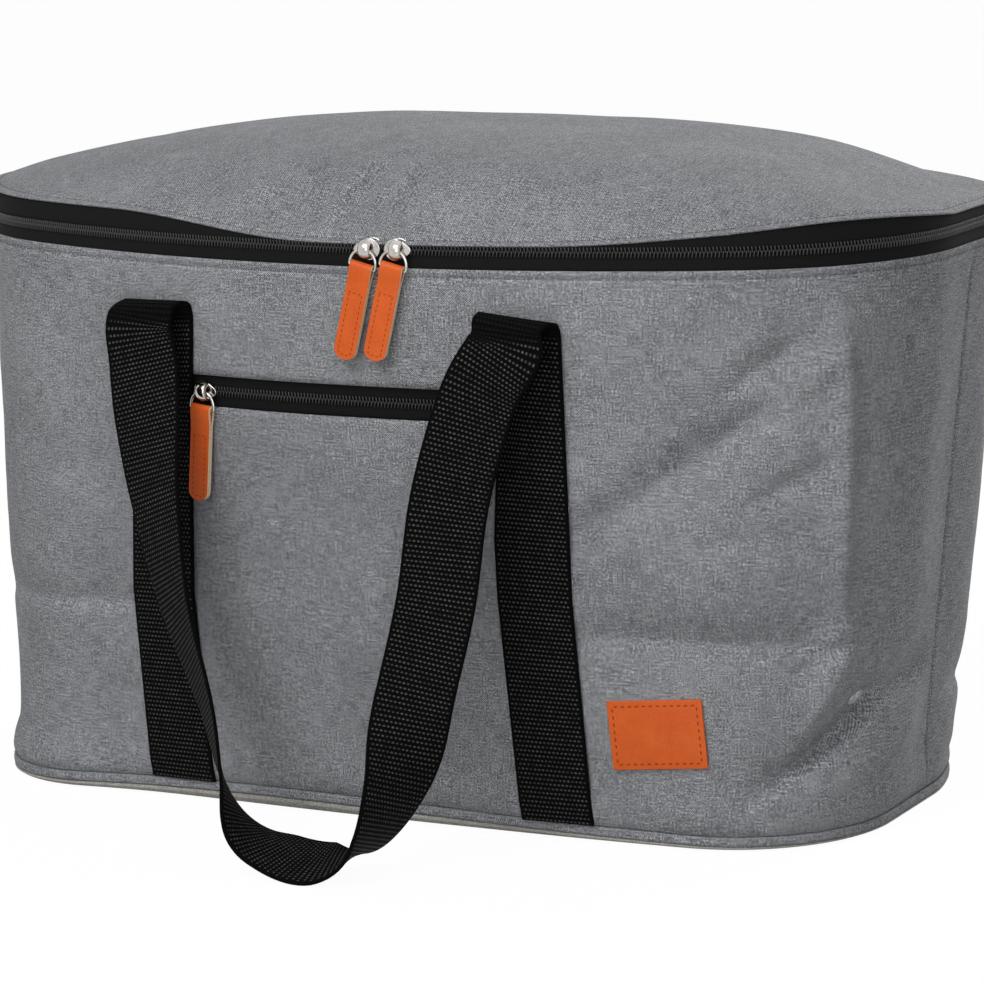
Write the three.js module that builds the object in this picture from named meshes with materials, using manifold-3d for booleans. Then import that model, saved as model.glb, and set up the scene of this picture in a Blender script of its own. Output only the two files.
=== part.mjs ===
// Soft cooler bag: an insulated tub with a zipped domed lid, two webbing handles and a zipped front pocket.
// Millimetres, +Z up, front towards -Y. The origin is on the ground under the middle of the base.
import * as THREE from 'three';
import { mergeVertices } from 'three/addons/utils/BufferGeometryUtils.js';
import Module from 'manifold-3d';

const wasm = await Module();
wasm.setup();

// Plan of the tub at its base seam and at its top edge: a bowed front, straight sides and back, round corners
const baseHalfWidth = 242;
const baseFront = 130;
const baseBack = 128;
const baseBow = 2000;
const baseCorner = 80;
const baseRear = 80;
const topHalfWidth = 266;
const topFront = 154;
const topBack = 150;
const topBow = 520;
const topCorner = 115;
const topRear = 105;

// Heights
const seamHeight = 8;
const bodyTop = 282;
const zipBand = 22;
const lidRise = 31;

// Cloth, padding and the gap left between neighbouring layers
const shellCloth = 1.2;
const pouchCloth = 0.8;
const wallFoam = 6;
const baseFoam = 8;
const lidFoam = 6;
const foil = 0.6;
const gap = 0.3;
const baseRound = 12;
const weltReach = 1.3;
const weltRise = 3;

// Zips: the slot between the two coils takes the neck of a slider
const tapeCloth = 0.8;
const coilHeight = 2.1;
const coilTooth = 0.9;
const coilDepth = 2.2;
const coilProud = 0.4;
const coilPitch = 12;
const coilSlot = 1.6;
const zipLineRise = 8;
const pocketZipHeight = 214.5;
const pocketSlotHeight = 16;
const pouchHeight = 170;
const pouchBay = 4;

// Sliders, their wire rings and leather pulls
const sliderLength = 14;
const sliderHeight = 11;
const sliderPlate = 1.2;
const sliderPlay = 0.4;
const neckLength = 3;
const crownWidth = 5;
const crownHeight = 10;
const crownBar = 1.8;
const wireRadius = 0.75;
const wirePlay = 0.45;
const ringSide = 1.8;
const ringCorner = 0.8;
const tabWidth = 11.5;
const tabLength = 46;
const tabCorner = 4;
const leather = 1.4;
const leftSliderX = 22;
const rightSliderX = 38;
const pocketSliderX = -77;
const mainPullLean = 14;
const pocketPullLean = 5;

// Handles: webbing sewn up the wall, folded over at the top and hanging as a loop
const webbing = 38;
const webbingCloth = 1.7;
const webbingGap = 0.55;
const strapSpread = 104;
const foldTop = 260;
const foldEnd = 246;
const foldDepth = 18;
const loopReach = 72;
const loopRest = 7;

// Leather patch on the front
const patchWidth = 48;
const patchHeight = 34;
const patchCorner = 2;
const patchX = 154;
const patchHeightUp = 57;
const patchTurn = 5;

// Facets
const frontSteps = 14;
const cornerSteps = 5;
const loopSteps = 40;
const domeRings = [0.3, 0.6, 0.82, 0.94, 1];
const wallLevels = [0.33, 0.66];

// Worked-out places
const zipLine = bodyTop + zipLineRise;
const lidRim = bodyTop + zipBand;
const pouchInset = shellCloth + gap;
const foamInset = pouchInset + pouchCloth + gap;
const linerInset = foamInset + wallFoam + gap;
const pocketLow = pocketZipHeight - pocketSlotHeight / 2;
const pocketHigh = pocketZipHeight + pocketSlotHeight / 2;

const finish = (color, roughness, metalness = 0) =>
  new THREE.MeshStandardMaterial({ color, roughness, metalness });
const greyCloth = finish(0x83868b, 0.9);
const blackWebbing = finish(0x161616, 0.8);
const blackTape = finish(0x1b1b1d, 0.85);
const blackCoil = finish(0x101012, 0.5);
const silverFoil = finish(0xc9ccd0, 0.35, 0.6);
const whiteFoam = finish(0xe6e6e2, 0.95);
const blackLining = finish(0x232326, 0.9);
const tanLeather = finish(0xc86432, 0.6);
const nickel = finish(0xd0d0d2, 0.25, 1);

const bag = new THREE.Group();

function add(name, geometry, look, parent = bag) {
  const mesh = new THREE.Mesh(geometry, look);
  mesh.name = name;
  parent.add(mesh);
}

// Closed body from cross-sections: sides between neighbouring rings, each patch split along its shorter diagonal,
// and ends unless the run closes on itself
function loft(rings, closed = false) {
  const count = rings[0].length;
  const points = rings.flat();
  const index = [];
  const runs = closed ? rings.length : rings.length - 1;
  for (let i = 0; i < runs; i++) {
    const here = i * count;
    const next = ((i + 1) % rings.length) * count;
    for (let j = 0; j < count; j++) {
      const k = (j + 1) % count;
      const [a, b, c, d] = [here + j, next + j, next + k, here + k];
      const falling = points[a].distanceTo(points[c]) > points[b].distanceTo(points[d]);
      index.push(...(falling ? [a, b, d, b, c, d] : [a, b, c, a, c, d]));
    }
  }
  if (!closed) {
    const end = (rings.length - 1) * count;
    for (let a = 0, b = count - 1; a + 1 < b; a++, b--) {
      index.push(a, a + 1, b, end + a + 1, end + a, end + b);
      if (a + 1 < b - 1) index.push(a + 1, b - 1, b, end + b - 1, end + a + 1, end + b);
    }
  }
  let volume = 0;
  for (let i = 0; i < index.length; i += 3) {
    const [p, q, r] = [points[index[i]], points[index[i + 1]], points[index[i + 2]]];
    volume += p.dot(q.clone().cross(r));
  }
  const geometry = new THREE.BufferGeometry().setFromPoints(points);
  geometry.setIndex(volume > 0 ? index : index.reverse());
  geometry.computeVertexNormals();
  return geometry;
}

function toSolid(geometry) {
  const bare = geometry.clone();
  bare.deleteAttribute('normal');
  bare.deleteAttribute('uv');
  const merged = mergeVertices(bare, 1e-4);
  const vertProperties = new Float32Array(merged.attributes.position.array);
  const triVerts = new Uint32Array(merged.index.array);
  return new wasm.Manifold(new wasm.Mesh({ numProp: 3, vertProperties, triVerts }));
}

function toGeometry(solid) {
  const mesh = solid.getMesh();
  const geometry = new THREE.BufferGeometry();
  geometry.setAttribute('position', new THREE.BufferAttribute(mesh.vertProperties, 3));
  geometry.setIndex(new THREE.BufferAttribute(mesh.triVerts, 1));
  geometry.computeVertexNormals();
  return geometry;
}

// Extrusions whose outline lies in the YZ plane, centred along X, or in the XZ plane, centred along Y
const crossways = new THREE.Matrix4().makeBasis(
  new THREE.Vector3(0, 1, 0), new THREE.Vector3(0, 0, 1), new THREE.Vector3(1, 0, 0));
const upright = new THREE.Matrix4().makeBasis(
  new THREE.Vector3(1, 0, 0), new THREE.Vector3(0, 0, 1), new THREE.Vector3(0, -1, 0));

function extrude(shape, depth, basis) {
  const geometry = new THREE.ExtrudeGeometry(shape, { depth, bevelEnabled: false, curveSegments: 5 });
  geometry.translate(0, 0, -depth / 2);
  return geometry.applyMatrix4(basis);
}

function roundedRectangle(width, height, radius) {
  const [x, y] = [width / 2, height / 2];
  const shape = new THREE.Shape();
  shape.absarc(x - radius, y - radius, radius, 0, Math.PI / 2);
  shape.absarc(radius - x, y - radius, radius, Math.PI / 2, Math.PI);
  shape.absarc(radius - x, radius - y, radius, Math.PI, 1.5 * Math.PI);
  shape.absarc(x - radius, radius - y, radius, 1.5 * Math.PI, 2 * Math.PI);
  return shape;
}

// The tub's plan at a height, drawn in by an inset. Above the top edge the wall stands upright.
function plan(z, inset) {
  const level = Math.min(1, Math.max(0, (z - seamHeight) / (bodyTop - seamHeight)));
  const mix = (low, high) => low + (high - low) * level;
  const halfWidth = mix(baseHalfWidth, topHalfWidth) - inset;
  const front = mix(baseFront, topFront) - inset;
  const back = mix(baseBack, topBack) - inset;
  const bow = 1 / mix(1 / baseBow, 1 / topBow) - inset;
  const corner = mix(baseCorner, topCorner) - inset;
  const rear = mix(baseRear, topRear) - inset;
  const bowY = bow - front;
  const cornerX = halfWidth - corner;
  const cornerY = bowY - Math.sqrt((bow - corner) ** 2 - cornerX ** 2);
  const reach = Math.atan2(cornerX, bowY - cornerY);
  const seamY = (cornerY + back - rear) / 2;
  return { halfWidth, back, bow, bowY, corner, cornerX, cornerY, rear, reach, seamY };
}

function arc(x, y, radius, from, to, steps) {
  return Array.from({ length: steps + 1 }, (_, i) => {
    const angle = from + ((to - from) * i) / steps;
    return new THREE.Vector2(x + radius * Math.cos(angle), y + radius * Math.sin(angle));
  });
}

// Stretches of the plan, all walked from the right by the front to the left
function frontRun(p) {
  const turn = Math.PI / 2;
  return [
    new THREE.Vector2(p.halfWidth, p.seamY),
    ...arc(p.cornerX, p.cornerY, p.corner, 0, p.reach - turn, cornerSteps),
    ...arc(0, p.bowY, p.bow, p.reach - turn, -p.reach - turn, frontSteps).slice(1),
    ...arc(-p.cornerX, p.cornerY, p.corner, -p.reach - turn, -2 * turn, cornerSteps).slice(1),
    new THREE.Vector2(-p.halfWidth, p.seamY),
  ];
}

const rearRight = (p) =>
  arc(p.halfWidth - p.rear, p.back - p.rear, p.rear, Math.PI / 2, 0, cornerSteps);
const rearLeft = (p) =>
  arc(p.rear - p.halfWidth, p.back - p.rear, p.rear, Math.PI, Math.PI / 2, cornerSteps);

function backRun(p) {
  const seamLeft = new THREE.Vector2(-p.halfWidth, p.seamY);
  const seamRight = new THREE.Vector2(p.halfWidth, p.seamY);
  return [seamLeft, ...rearLeft(p), ...rearRight(p), seamRight];
}

// Round the front from one rear corner to the other: the run of the lid's zip, and closed, the whole plan
const zipRun = (p) => [...rearRight(p), ...frontRun(p), ...rearLeft(p)];
const hingeRun = (p) => [
  new THREE.Vector2(p.halfWidth - p.rear - gap, p.back),
  new THREE.Vector2(p.rear - p.halfWidth + gap, p.back),
];

const raise = (points, z) => points.map((p) => new THREE.Vector3(p.x, p.y, z));
const outline = (z, inset) => raise(zipRun(plan(z, inset)), z);

// A sheet standing along a run of the plan, between two insets
function wall(run, heights, outer, inner, closed = false) {
  const outside = heights.map((z) => raise(run(plan(z, outer)), z));
  const inside = heights.map((z) => raise(run(plan(z, inner)), z)).reverse();
  const around = [...outside, ...inside];
  return loft(around[0].map((_, i) => around.map((line) => line[i])), closed);
}

const levelsBetween = (low, high) => wallLevels
  .map((share) => seamHeight + share * (bodyTop - seamHeight))
  .filter((z) => z > low && z < high);
const wallHeights = (low, high) => [low, ...levelsBetween(low, high), high];

// The front wall's surface, and pieces that lie on it: each profile row is a height with two standoffs
function frontY(x, z) {
  const p = plan(z, 0);
  return p.bowY - Math.sqrt(p.bow ** 2 - x ** 2);
}

function spread(from, to, steps) {
  return Array.from({ length: steps + 1 }, (_, i) => from + ((to - from) * i) / steps);
}

function onFront(xs, rows) {
  return loft(xs.map((x) => [
    ...rows.map(({ z, outer }) => new THREE.Vector3(x, frontY(x, z) - outer, z)),
    ...rows.map(({ z, inner }) => new THREE.Vector3(x, frontY(x, z) - inner, z)).reverse(),
  ]));
}

// Points at even steps along a line
function evenly(line, steps) {
  const lengths = [0];
  line.slice(1).forEach((p, i) => lengths.push(lengths[i] + p.distanceTo(line[i])));
  const total = lengths[lengths.length - 1];
  return spread(0, total, steps).map((s) => {
    const i = Math.max(1, lengths.findIndex((l) => l >= s - 1e-9));
    const share = (s - lengths[i - 1]) / (lengths[i] - lengths[i - 1]);
    return line[i - 1].clone().lerp(line[i], share);
  });
}

// One half of a zip: a strip with teeth along one edge, between an outer and an inner line
function coil(outerLine, innerLine, root, tip) {
  const length = outerLine.slice(1).reduce((sum, p, i) => sum + p.distanceTo(outerLine[i]), 0);
  const steps = 2 * Math.round(length / coilPitch);
  const outside = evenly(outerLine, steps);
  const inside = evenly(innerLine, steps);
  const valley = tip - Math.sign(tip - root) * coilTooth;
  return loft(outside.map((p, i) => {
    const edge = i % 2 ? tip : valley;
    const q = inside[i];
    return [[p, root], [p, edge], [q, edge], [q, root]].map(([at, z]) => new THREE.Vector3(at.x, at.y, z));
  }));
}

// Tub: outer cloth, base, a flat welt round the base seam, foam and foil liner
function buildTub() {
  const heights = wallHeights(seamHeight + gap, bodyTop);
  const slot = onFront(spread(-strapSpread, strapSpread, frontSteps), [
    { z: pocketLow, outer: wallFoam, inner: -foamInset },
    { z: pocketHigh, outer: wallFoam, inner: -foamInset },
  ]);
  const frontCloth = wall(frontRun, heights, 0, shellCloth);
  add('front_panel', toGeometry(toSolid(frontCloth).subtract(toSolid(slot))), greyCloth);
  const backCloth = wall((p) => [
    new THREE.Vector2(-p.halfWidth, p.seamY + gap),
    ...backRun(p).slice(1, -1),
    new THREE.Vector2(p.halfWidth, p.seamY + gap),
  ], heights, 0, shellCloth);
  add('back_panel', backCloth, greyCloth);

  const dishTop = seamHeight - gap;
  const knee = baseRound * (1 - Math.SQRT1_2);
  add('base_panel', loft([
    outline(0, baseRound),
    outline(dishTop * (1 - Math.SQRT1_2), knee),
    outline(dishTop, 0),
    outline(dishTop, shellCloth),
    outline(dishTop * (1 - Math.SQRT1_2) + shellCloth, knee + shellCloth),
    outline(shellCloth, baseRound + shellCloth),
  ]), greyCloth);

  const welt = spread(0, 2 * Math.PI, 6).slice(0, -1).map((angle) =>
    outline(seamHeight, -weltReach * (1 + Math.cos(angle)) - gap)
      .map((p) => p.setZ(seamHeight + weltRise * Math.sin(angle))));
  add('base_welt', loft(welt[0].map((_, i) => welt.map((line) => line[i])), true), greyCloth);

  const bay = onFront(spread(-strapSpread - 2 * gap, strapSpread + 2 * gap, frontSteps), [
    { z: pocketLow - pouchBay - 2 * gap, outer: wallFoam, inner: -foamInset },
    { z: pocketLow, outer: wallFoam, inner: -foamInset - pouchBay },
    { z: pocketHigh, outer: wallFoam, inner: -foamInset - pouchBay },
    { z: pocketHigh + pouchBay + 2 * gap, outer: wallFoam, inner: -foamInset },
  ]);
  const foamTop = bodyTop - 2;
  const wallPad = wall(zipRun, wallHeights(seamHeight + gap, foamTop), foamInset, foamInset + wallFoam, true);
  add('wall_foam', toGeometry(toSolid(wallPad).subtract(toSolid(bay))), whiteFoam);

  const padLow = shellCloth + gap;
  const padTop = padLow + baseFoam;
  add('base_foam', loft([
    outline(padLow, baseRound + 2 * shellCloth),
    outline(seamHeight, linerInset),
    outline(padTop, linerInset),
  ]), whiteFoam);

  const floor = padTop + gap;
  const linerHeights = wallHeights(floor, foamTop);
  const linerInside = wallHeights(floor + foil, foamTop);
  add('body_liner', loft([
    ...linerHeights.map((z) => outline(z, linerInset)),
    ...linerInside.map((z) => outline(z, linerInset + foil)).reverse(),
  ]), silverFoil);
}

// The lid's zip: a tape and a toothed coil on each side of the zip line, from rear corner to rear corner
function buildLidZip() {
  const half = coilSlot / 2;
  const p = (inset) => zipRun(plan(zipLine, inset));
  const tape = (low, high) => wall(zipRun, [low, high], gap, gap + tapeCloth);
  const teeth = (root, tip) => coil(p(-coilProud), p(coilDepth - coilProud), root, tip);
  const lowRoot = zipLine - half - coilHeight;
  const highRoot = zipLine + half + coilHeight;
  add('zip_lower_tape', tape(bodyTop + gap, lowRoot - gap), blackTape);
  add('zip_lower_coil', teeth(lowRoot, zipLine - half), blackCoil);
  add('zip_upper_coil', teeth(highRoot, zipLine + half), blackCoil);
  add('zip_upper_tape', tape(highRoot + gap, lidRim - gap), blackTape);
  add('hinge_band', wall(hingeRun, [bodyTop + gap, lidRim - gap], 0, shellCloth), greyCloth);
}

// One face of the domed lid: rings drawn in from the rim's plan, rising to the crown
const domeFace = (inset, rise, drop) => domeRings.map((share) => outline(bodyTop, inset)
  .map((p) => p.set(p.x * share, p.y * share, lidRim + rise * (1 - share ** 3) - drop)));

function dome(inset, drop, thickness) {
  return loft([
    ...domeFace(inset, lidRise, drop),
    ...domeFace(inset, lidRise, drop + thickness).reverse(),
  ]);
}

function buildLid() {
  const rimStep = 4;
  const foamDrop = 2 * shellCloth + gap;
  const outside = domeFace(0, lidRise, 0);
  const inside = domeFace(2 * shellCloth, lidRise - shellCloth, 0).reverse();
  add('lid_panel', loft([...outside, ...inside]), greyCloth);
  add('lid_foam', dome(rimStep, foamDrop, lidFoam), whiteFoam);
  add('lid_liner', dome(rimStep, foamDrop + lidFoam + gap, foil), silverFoil);
}

// Zip slider with its ring and leather pull, in a frame on the zip line: X along the zip, -Y outwards
function sliderBody(neckSide) {
  const inner = coilProud + sliderPlay;
  const outer = inner + sliderPlate;
  const backFace = coilDepth - coilProud + sliderPlay + gap;
  const [x, z] = [sliderLength / 2, sliderHeight / 2];
  const shield = new THREE.Shape();
  shield.moveTo(-x * neckSide, z * 0.45);
  shield.quadraticCurveTo(0, z * 0.7, x * 0.35 * neckSide, z);
  shield.quadraticCurveTo(x * neckSide, z, x * neckSide, 0);
  shield.quadraticCurveTo(x * neckSide, -z, x * 0.35 * neckSide, -z);
  shield.quadraticCurveTo(0, -z * 0.7, -x * neckSide, -z * 0.45);
  const plate = extrude(shield, sliderPlate, upright);
  const neck = new THREE.BoxGeometry(neckLength, backFace + outer, coilSlot - 2 * gap);
  neck.translate((x - neckLength) * neckSide, (backFace + sliderPlate - inner) / 2 - sliderPlate / 2, 0);
  const hole = 2 * (wireRadius + wirePlay) + wirePlay;
  const reach = hole + crownBar;
  const root = -outer + sliderPlate / 4;
  const [eye, brow] = [crownHeight / 2 - crownBar, crownHeight / 2];
  const bridge = new THREE.Shape();
  bridge.moveTo(root, -brow);
  bridge.lineTo(-outer - reach / 2, -brow);
  bridge.quadraticCurveTo(-outer - reach, -brow, -outer - reach, 0);
  bridge.quadraticCurveTo(-outer - reach, brow, -outer - reach / 2, brow);
  bridge.lineTo(root, brow);
  bridge.lineTo(root, eye);
  bridge.lineTo(-outer - hole, eye / 2);
  bridge.lineTo(-outer - hole, -eye / 2);
  bridge.lineTo(root, -eye);
  const crown = extrude(bridge, crownWidth, crossways);
  const facePlate = plate.clone().translate(0, -inner - sliderPlate / 2, 0);
  const backPlate = plate.translate(0, backFace + sliderPlate / 2, 0);
  return toGeometry(toSolid(facePlate).add(toSolid(backPlate)).add(toSolid(neck)).add(toSolid(crown)));
}

const ringRadius = tabWidth / 2 + ringCorner + gap;
const ringDrop = ringRadius + ringSide;

// D-shaped wire ring: a half circle over a straight bar, hung from the middle of its arch
function wireRing() {
  const bar = ringDrop - ringCorner;
  const side = ringRadius - ringCorner;
  const path = [
    ...arc(0, -ringRadius, ringRadius, 0, Math.PI, 10),
    ...arc(-side, -bar, ringCorner, Math.PI, 1.5 * Math.PI, 3),
    ...arc(side, -bar, ringCorner, 1.5 * Math.PI, 2 * Math.PI, 3),
  ];
  return loft(path.map((p, i) => {
    const before = path[(i + path.length - 1) % path.length];
    const after = path[(i + 1) % path.length];
    const along = after.clone().sub(before).normalize();
    return spread(0, 2 * Math.PI, 6).slice(0, -1).map((angle) => new THREE.Vector3(
      p.x + along.y * wireRadius * Math.cos(angle),
      wireRadius * Math.sin(angle),
      p.y - along.x * wireRadius * Math.cos(angle)));
  }), true);
}

// Leather strip folded round the ring's bar: two plies with an eye at the top and round lower corners
function leatherTab() {
  const eye = wireRadius + gap;
  const bead = eye + leather;
  const start = Math.asin(leather / bead);
  const side = new THREE.Shape();
  side.moveTo(-leather, -tabLength);
  side.lineTo(leather, -tabLength);
  side.absarc(0, 0, bead, start - Math.PI / 2, 1.5 * Math.PI - start);
  side.holes.push(new THREE.Path().absarc(0, 0, eye, 0, 2 * Math.PI));
  const face = roundedRectangle(tabWidth, tabLength + 2 * bead + tabCorner, tabCorner);
  const strip = extrude(side, tabWidth, crossways);
  const front = extrude(face, 2 * bead + 1, upright);
  front.translate(0, 0, bead + tabCorner / 2 - tabLength / 2);
  return toGeometry(toSolid(strip).intersect(toSolid(front)));
}

function addSlider(name, x, z, neckSide, lean) {
  const p = plan(z, 0);
  const turn = Math.asin(x / p.bow);
  const seat = new THREE.Group();
  seat.position.set(x, p.bowY - p.bow * Math.cos(turn), z);
  seat.rotation.z = turn;
  const pull = new THREE.Group();
  pull.position.set(0, -coilProud - sliderPlay - sliderPlate - wireRadius - wirePlay, -wirePlay / 2);
  pull.rotation.y = THREE.MathUtils.degToRad(lean);
  const hanger = new THREE.Group();
  hanger.position.z = -ringDrop;
  bag.add(seat.add(pull.add(hanger)));
  add(`${name}_slider`, sliderBody(neckSide), nickel, seat);
  add(`${name}_pull_ring`, wireRing(), nickel, pull);
  add(`${name}_pull_tab`, leatherTab(), tanLeather, hanger);
}

// Front pocket: a slot in the cloth closed by a straight zip, with a flat pouch behind it
function buildPocket() {
  const half = coilSlot / 2;
  const clear = strapSpread - webbing / 2 - 2 * gap;
  const steps = spread(-strapSpread + gap, strapSpread - gap, frontSteps);
  const between = spread(-clear, clear, frontSteps);
  const tape = (low, high) => onFront(steps, [low, high].map((z) => ({ z, outer: -gap, inner: -gap - tapeCloth })));
  const line = (inset) => between.map((x) => new THREE.Vector2(x, frontY(x, pocketZipHeight) + inset));
  const teeth = (root, tip) => coil(line(-coilProud), line(coilDepth - coilProud), root, tip);
  const lowRoot = pocketZipHeight - half - coilHeight;
  const highRoot = pocketZipHeight + half + coilHeight;
  add('pocket_lower_tape', tape(pocketLow + gap, lowRoot - gap), blackTape);
  add('pocket_lower_coil', teeth(lowRoot, pocketZipHeight - half), blackCoil);
  add('pocket_upper_coil', teeth(highRoot, pocketZipHeight + half), blackCoil);
  add('pocket_upper_tape', tape(highRoot + gap, pocketHigh - gap), blackTape);
  const sheet = (z, inset) => ({ z, outer: -inset, inner: -inset - pouchCloth });
  add('pocket_pouch', onFront(steps, [
    ...wallHeights(pocketLow - pouchHeight, pocketLow - pouchBay).map((z) => sheet(z, pouchInset)),
    sheet(pocketLow, pouchInset + pouchBay),
    sheet(pocketHigh, pouchInset + pouchBay),
    sheet(pocketHigh + pouchBay, pouchInset),
    sheet(pocketHigh + 2 * pouchBay, pouchInset),
  ]), blackLining);
}

// Handles. A sewn leg runs up the wall and over a fold; the free loop hangs from the fold's front face.
const backY = (x, z) => plan(z, 0).back;

function strapLeg(centre, surface, outwards) {
  const bottom = seamHeight + weltRise + gap;
  const face = surface(centre, foldEnd) + outwards * foldDepth;
  return loft(spread(centre - webbing / 2, centre + webbing / 2, 4).map((x) => {
    const root = surface(x, foldTop) + outwards * webbingGap;
    const radius = Math.abs(face - root) / 2;
    const middle = (face + root) / 2;
    const bend = (r) => spread(0, Math.PI, 8).map((angle) =>
      new THREE.Vector3(x, middle - outwards * r * Math.cos(angle), foldTop - radius + r * Math.sin(angle)));
    const sewn = (standoff) => [bottom, ...levelsBetween(bottom, foldEnd)].map((z) =>
      new THREE.Vector3(x, surface(x, z) + outwards * standoff, z));
    return [
      ...sewn(webbingGap),
      ...bend(radius),
      new THREE.Vector3(x, face, foldEnd),
      new THREE.Vector3(x, face - outwards * webbingCloth, foldEnd),
      ...bend(radius - webbingCloth).reverse(),
      ...sewn(webbingGap + webbingCloth).reverse(),
    ];
  }));
}

// Loop rows: place across, outwards and up as shares of spread, reach and height, then the width's direction
const frontLoop = [
  [-1, 0, 1, 1, 0, 0],
  [-0.98, 0.04, 0.93, 1, 0, 0],
  [-0.9, 0.2, 0.82, 0.99, 0.1, 0.07],
  [-0.81, 0.35, 0.67, 0.92, 0.36, 0.12],
  [-0.66, 0.51, 0.47, 0.79, 0.58, 0.18],
  [-0.44, 0.68, 0.28, 0.64, 0.74, 0.22],
  [-0.32, 0.79, 0.14, 0.51, 0.83, 0.22],
  [-0.17, 0.89, 0.05, 0.33, 0.94, -0.06],
  [0.04, 0.97, 0.01, 0.32, 0.92, -0.24],
  [0.29, 1, 0, 0.38, 0.9, -0.22],
  [0.48, 0.9, 0.04, 0.1, 0.95, 0.28],
  [0.6, 0.79, 0.16, -0.45, 0.88, 0.16],
  [0.65, 0.65, 0.32, -0.93, 0.36, 0],
  [0.72, 0.47, 0.51, -1, 0, -0.07],
  [0.76, 0.3, 0.71, -1, 0, -0.06],
  [0.89, 0.11, 0.9, -0.99, 0.1, 0.05],
  [1, 0, 1, -1, 0, 0],
];
const backLoopHalf = [
  [-1, 0, 1, 1, 0, 0],
  [-1, 0.05, 0.93, 1, 0, 0],
  [-0.95, 0.25, 0.75, 0.95, 0.3, 0],
  [-0.84, 0.5, 0.5, 0.8, 0.6, 0.05],
  [-0.6, 0.75, 0.23, 0.5, 0.85, 0.1],
  [-0.3, 0.93, 0.05, 0.2, 0.97, 0.1],
];
const backLoop = [
  ...backLoopHalf,
  [0, 1, 0, 0, 1, 0],
  ...backLoopHalf.map(([x, out, up, wx, ...rest]) => [-x, out, up, -wx, ...rest]).reverse(),
];

function strapLoop(rows, surface, outwards) {
  const face = surface(strapSpread, foldEnd) + outwards * (foldDepth - webbingCloth / 2);
  const start = foldEnd - gap;
  const middle = new THREE.CatmullRomCurve3(rows.map(([x, out, up]) => new THREE.Vector3(
    x * strapSpread, face + outwards * out * loopReach, loopRest + up * (start - loopRest))));
  const across = new THREE.CatmullRomCurve3(rows.map(([, , , x, y, z]) => new THREE.Vector3(x, outwards * y, z)));
  return loft(spread(0, 1, loopSteps).map((t, i) => {
    const end = i === 0 || i === loopSteps;
    const along = end ? new THREE.Vector3(0, 0, i ? 1 : -1) : middle.getTangent(t);
    const side = across.getPoint(t);
    side.addScaledVector(along, -side.dot(along)).setLength(webbing / 2);
    const thick = along.clone().cross(side).setLength(webbingCloth / 2);
    const centre = middle.getPoint(t);
    return [[1, 1], [1, -1], [-1, -1], [-1, 1]].map(([a, b]) =>
      centre.clone().addScaledVector(side, a).addScaledVector(thick, b));
  }));
}

function buildHandles() {
  for (const [place, surface, outwards, rows] of [
    ['front', frontY, -1, frontLoop],
    ['back', backY, 1, backLoop],
  ]) {
    add(`${place}_left_leg`, strapLeg(-strapSpread, surface, outwards), blackWebbing);
    add(`${place}_right_leg`, strapLeg(strapSpread, surface, outwards), blackWebbing);
    add(`${place}_handle_loop`, strapLoop(rows, surface, outwards), blackWebbing);
  }
}

// Bare leather patch, laid flat against the front wall
function buildPatch() {
  const p = plan(patchHeightUp, 0);
  const edge = patchHeight / 2;
  const rise = frontY(patchX, patchHeightUp - edge) - frontY(patchX, patchHeightUp + edge);
  const lean = Math.atan2(rise, patchHeight);
  const bulge = patchWidth ** 2 / 8 / p.bow;
  const seat = new THREE.Group();
  seat.position.set(patchX, frontY(patchX, patchHeightUp), patchHeightUp);
  seat.rotation.set(lean, 0, Math.asin(patchX / p.bow), 'ZXY');
  const tag = new THREE.Group();
  tag.position.y = -gap - bulge - leather / 2;
  tag.rotation.y = THREE.MathUtils.degToRad(-patchTurn);
  bag.add(seat.add(tag));
  add('front_patch', extrude(roundedRectangle(patchWidth, patchHeight, patchCorner), leather, upright),
    tanLeather, tag);
}

buildTub();
buildLidZip();
buildLid();
buildPocket();
addSlider('left', leftSliderX, zipLine, 1, mainPullLean);
addSlider('right', rightSliderX, zipLine, -1, mainPullLean);
addSlider('pocket', pocketSliderX, pocketZipHeight, -1, pocketPullLean);
buildHandles();
buildPatch();

export default bag;
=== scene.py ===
# Soft cooler bag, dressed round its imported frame. Sizes are in millimetres, and meshes are made in metres.
import functools
import math

import bmesh
import bpy
from mathutils import Matrix, Vector, noise


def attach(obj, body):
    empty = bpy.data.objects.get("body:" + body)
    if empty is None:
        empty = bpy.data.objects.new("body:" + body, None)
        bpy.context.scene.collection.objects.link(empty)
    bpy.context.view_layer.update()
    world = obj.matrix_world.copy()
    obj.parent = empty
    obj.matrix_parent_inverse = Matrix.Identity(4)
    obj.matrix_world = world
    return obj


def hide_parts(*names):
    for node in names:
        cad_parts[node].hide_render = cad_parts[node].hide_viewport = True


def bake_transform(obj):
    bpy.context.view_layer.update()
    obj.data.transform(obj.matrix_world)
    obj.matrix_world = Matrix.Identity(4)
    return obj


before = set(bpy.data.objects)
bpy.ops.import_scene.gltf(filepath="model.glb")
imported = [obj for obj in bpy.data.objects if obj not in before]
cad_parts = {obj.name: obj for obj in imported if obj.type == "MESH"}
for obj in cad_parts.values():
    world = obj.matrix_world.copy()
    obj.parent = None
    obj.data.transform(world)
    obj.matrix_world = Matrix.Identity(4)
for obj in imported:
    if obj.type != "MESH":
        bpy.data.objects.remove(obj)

MM = 0.001
IN_METRES = Matrix.Scale(MM, 4)
UV = "UVMap"
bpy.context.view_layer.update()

# Plan of the tub, each size at the base seam and at the top edge
HALF_WIDTH = (242, 266)
FRONT = (130, 154)
BACK = (128, 150)
BOW = (2000, 520)
CORNER = (80, 115)
REAR = (80, 105)

# Heights
SEAM = 8
TOP = 282
ZIP_LINE = 290
LID_RIM = 304
LID_RISE = 31

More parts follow.
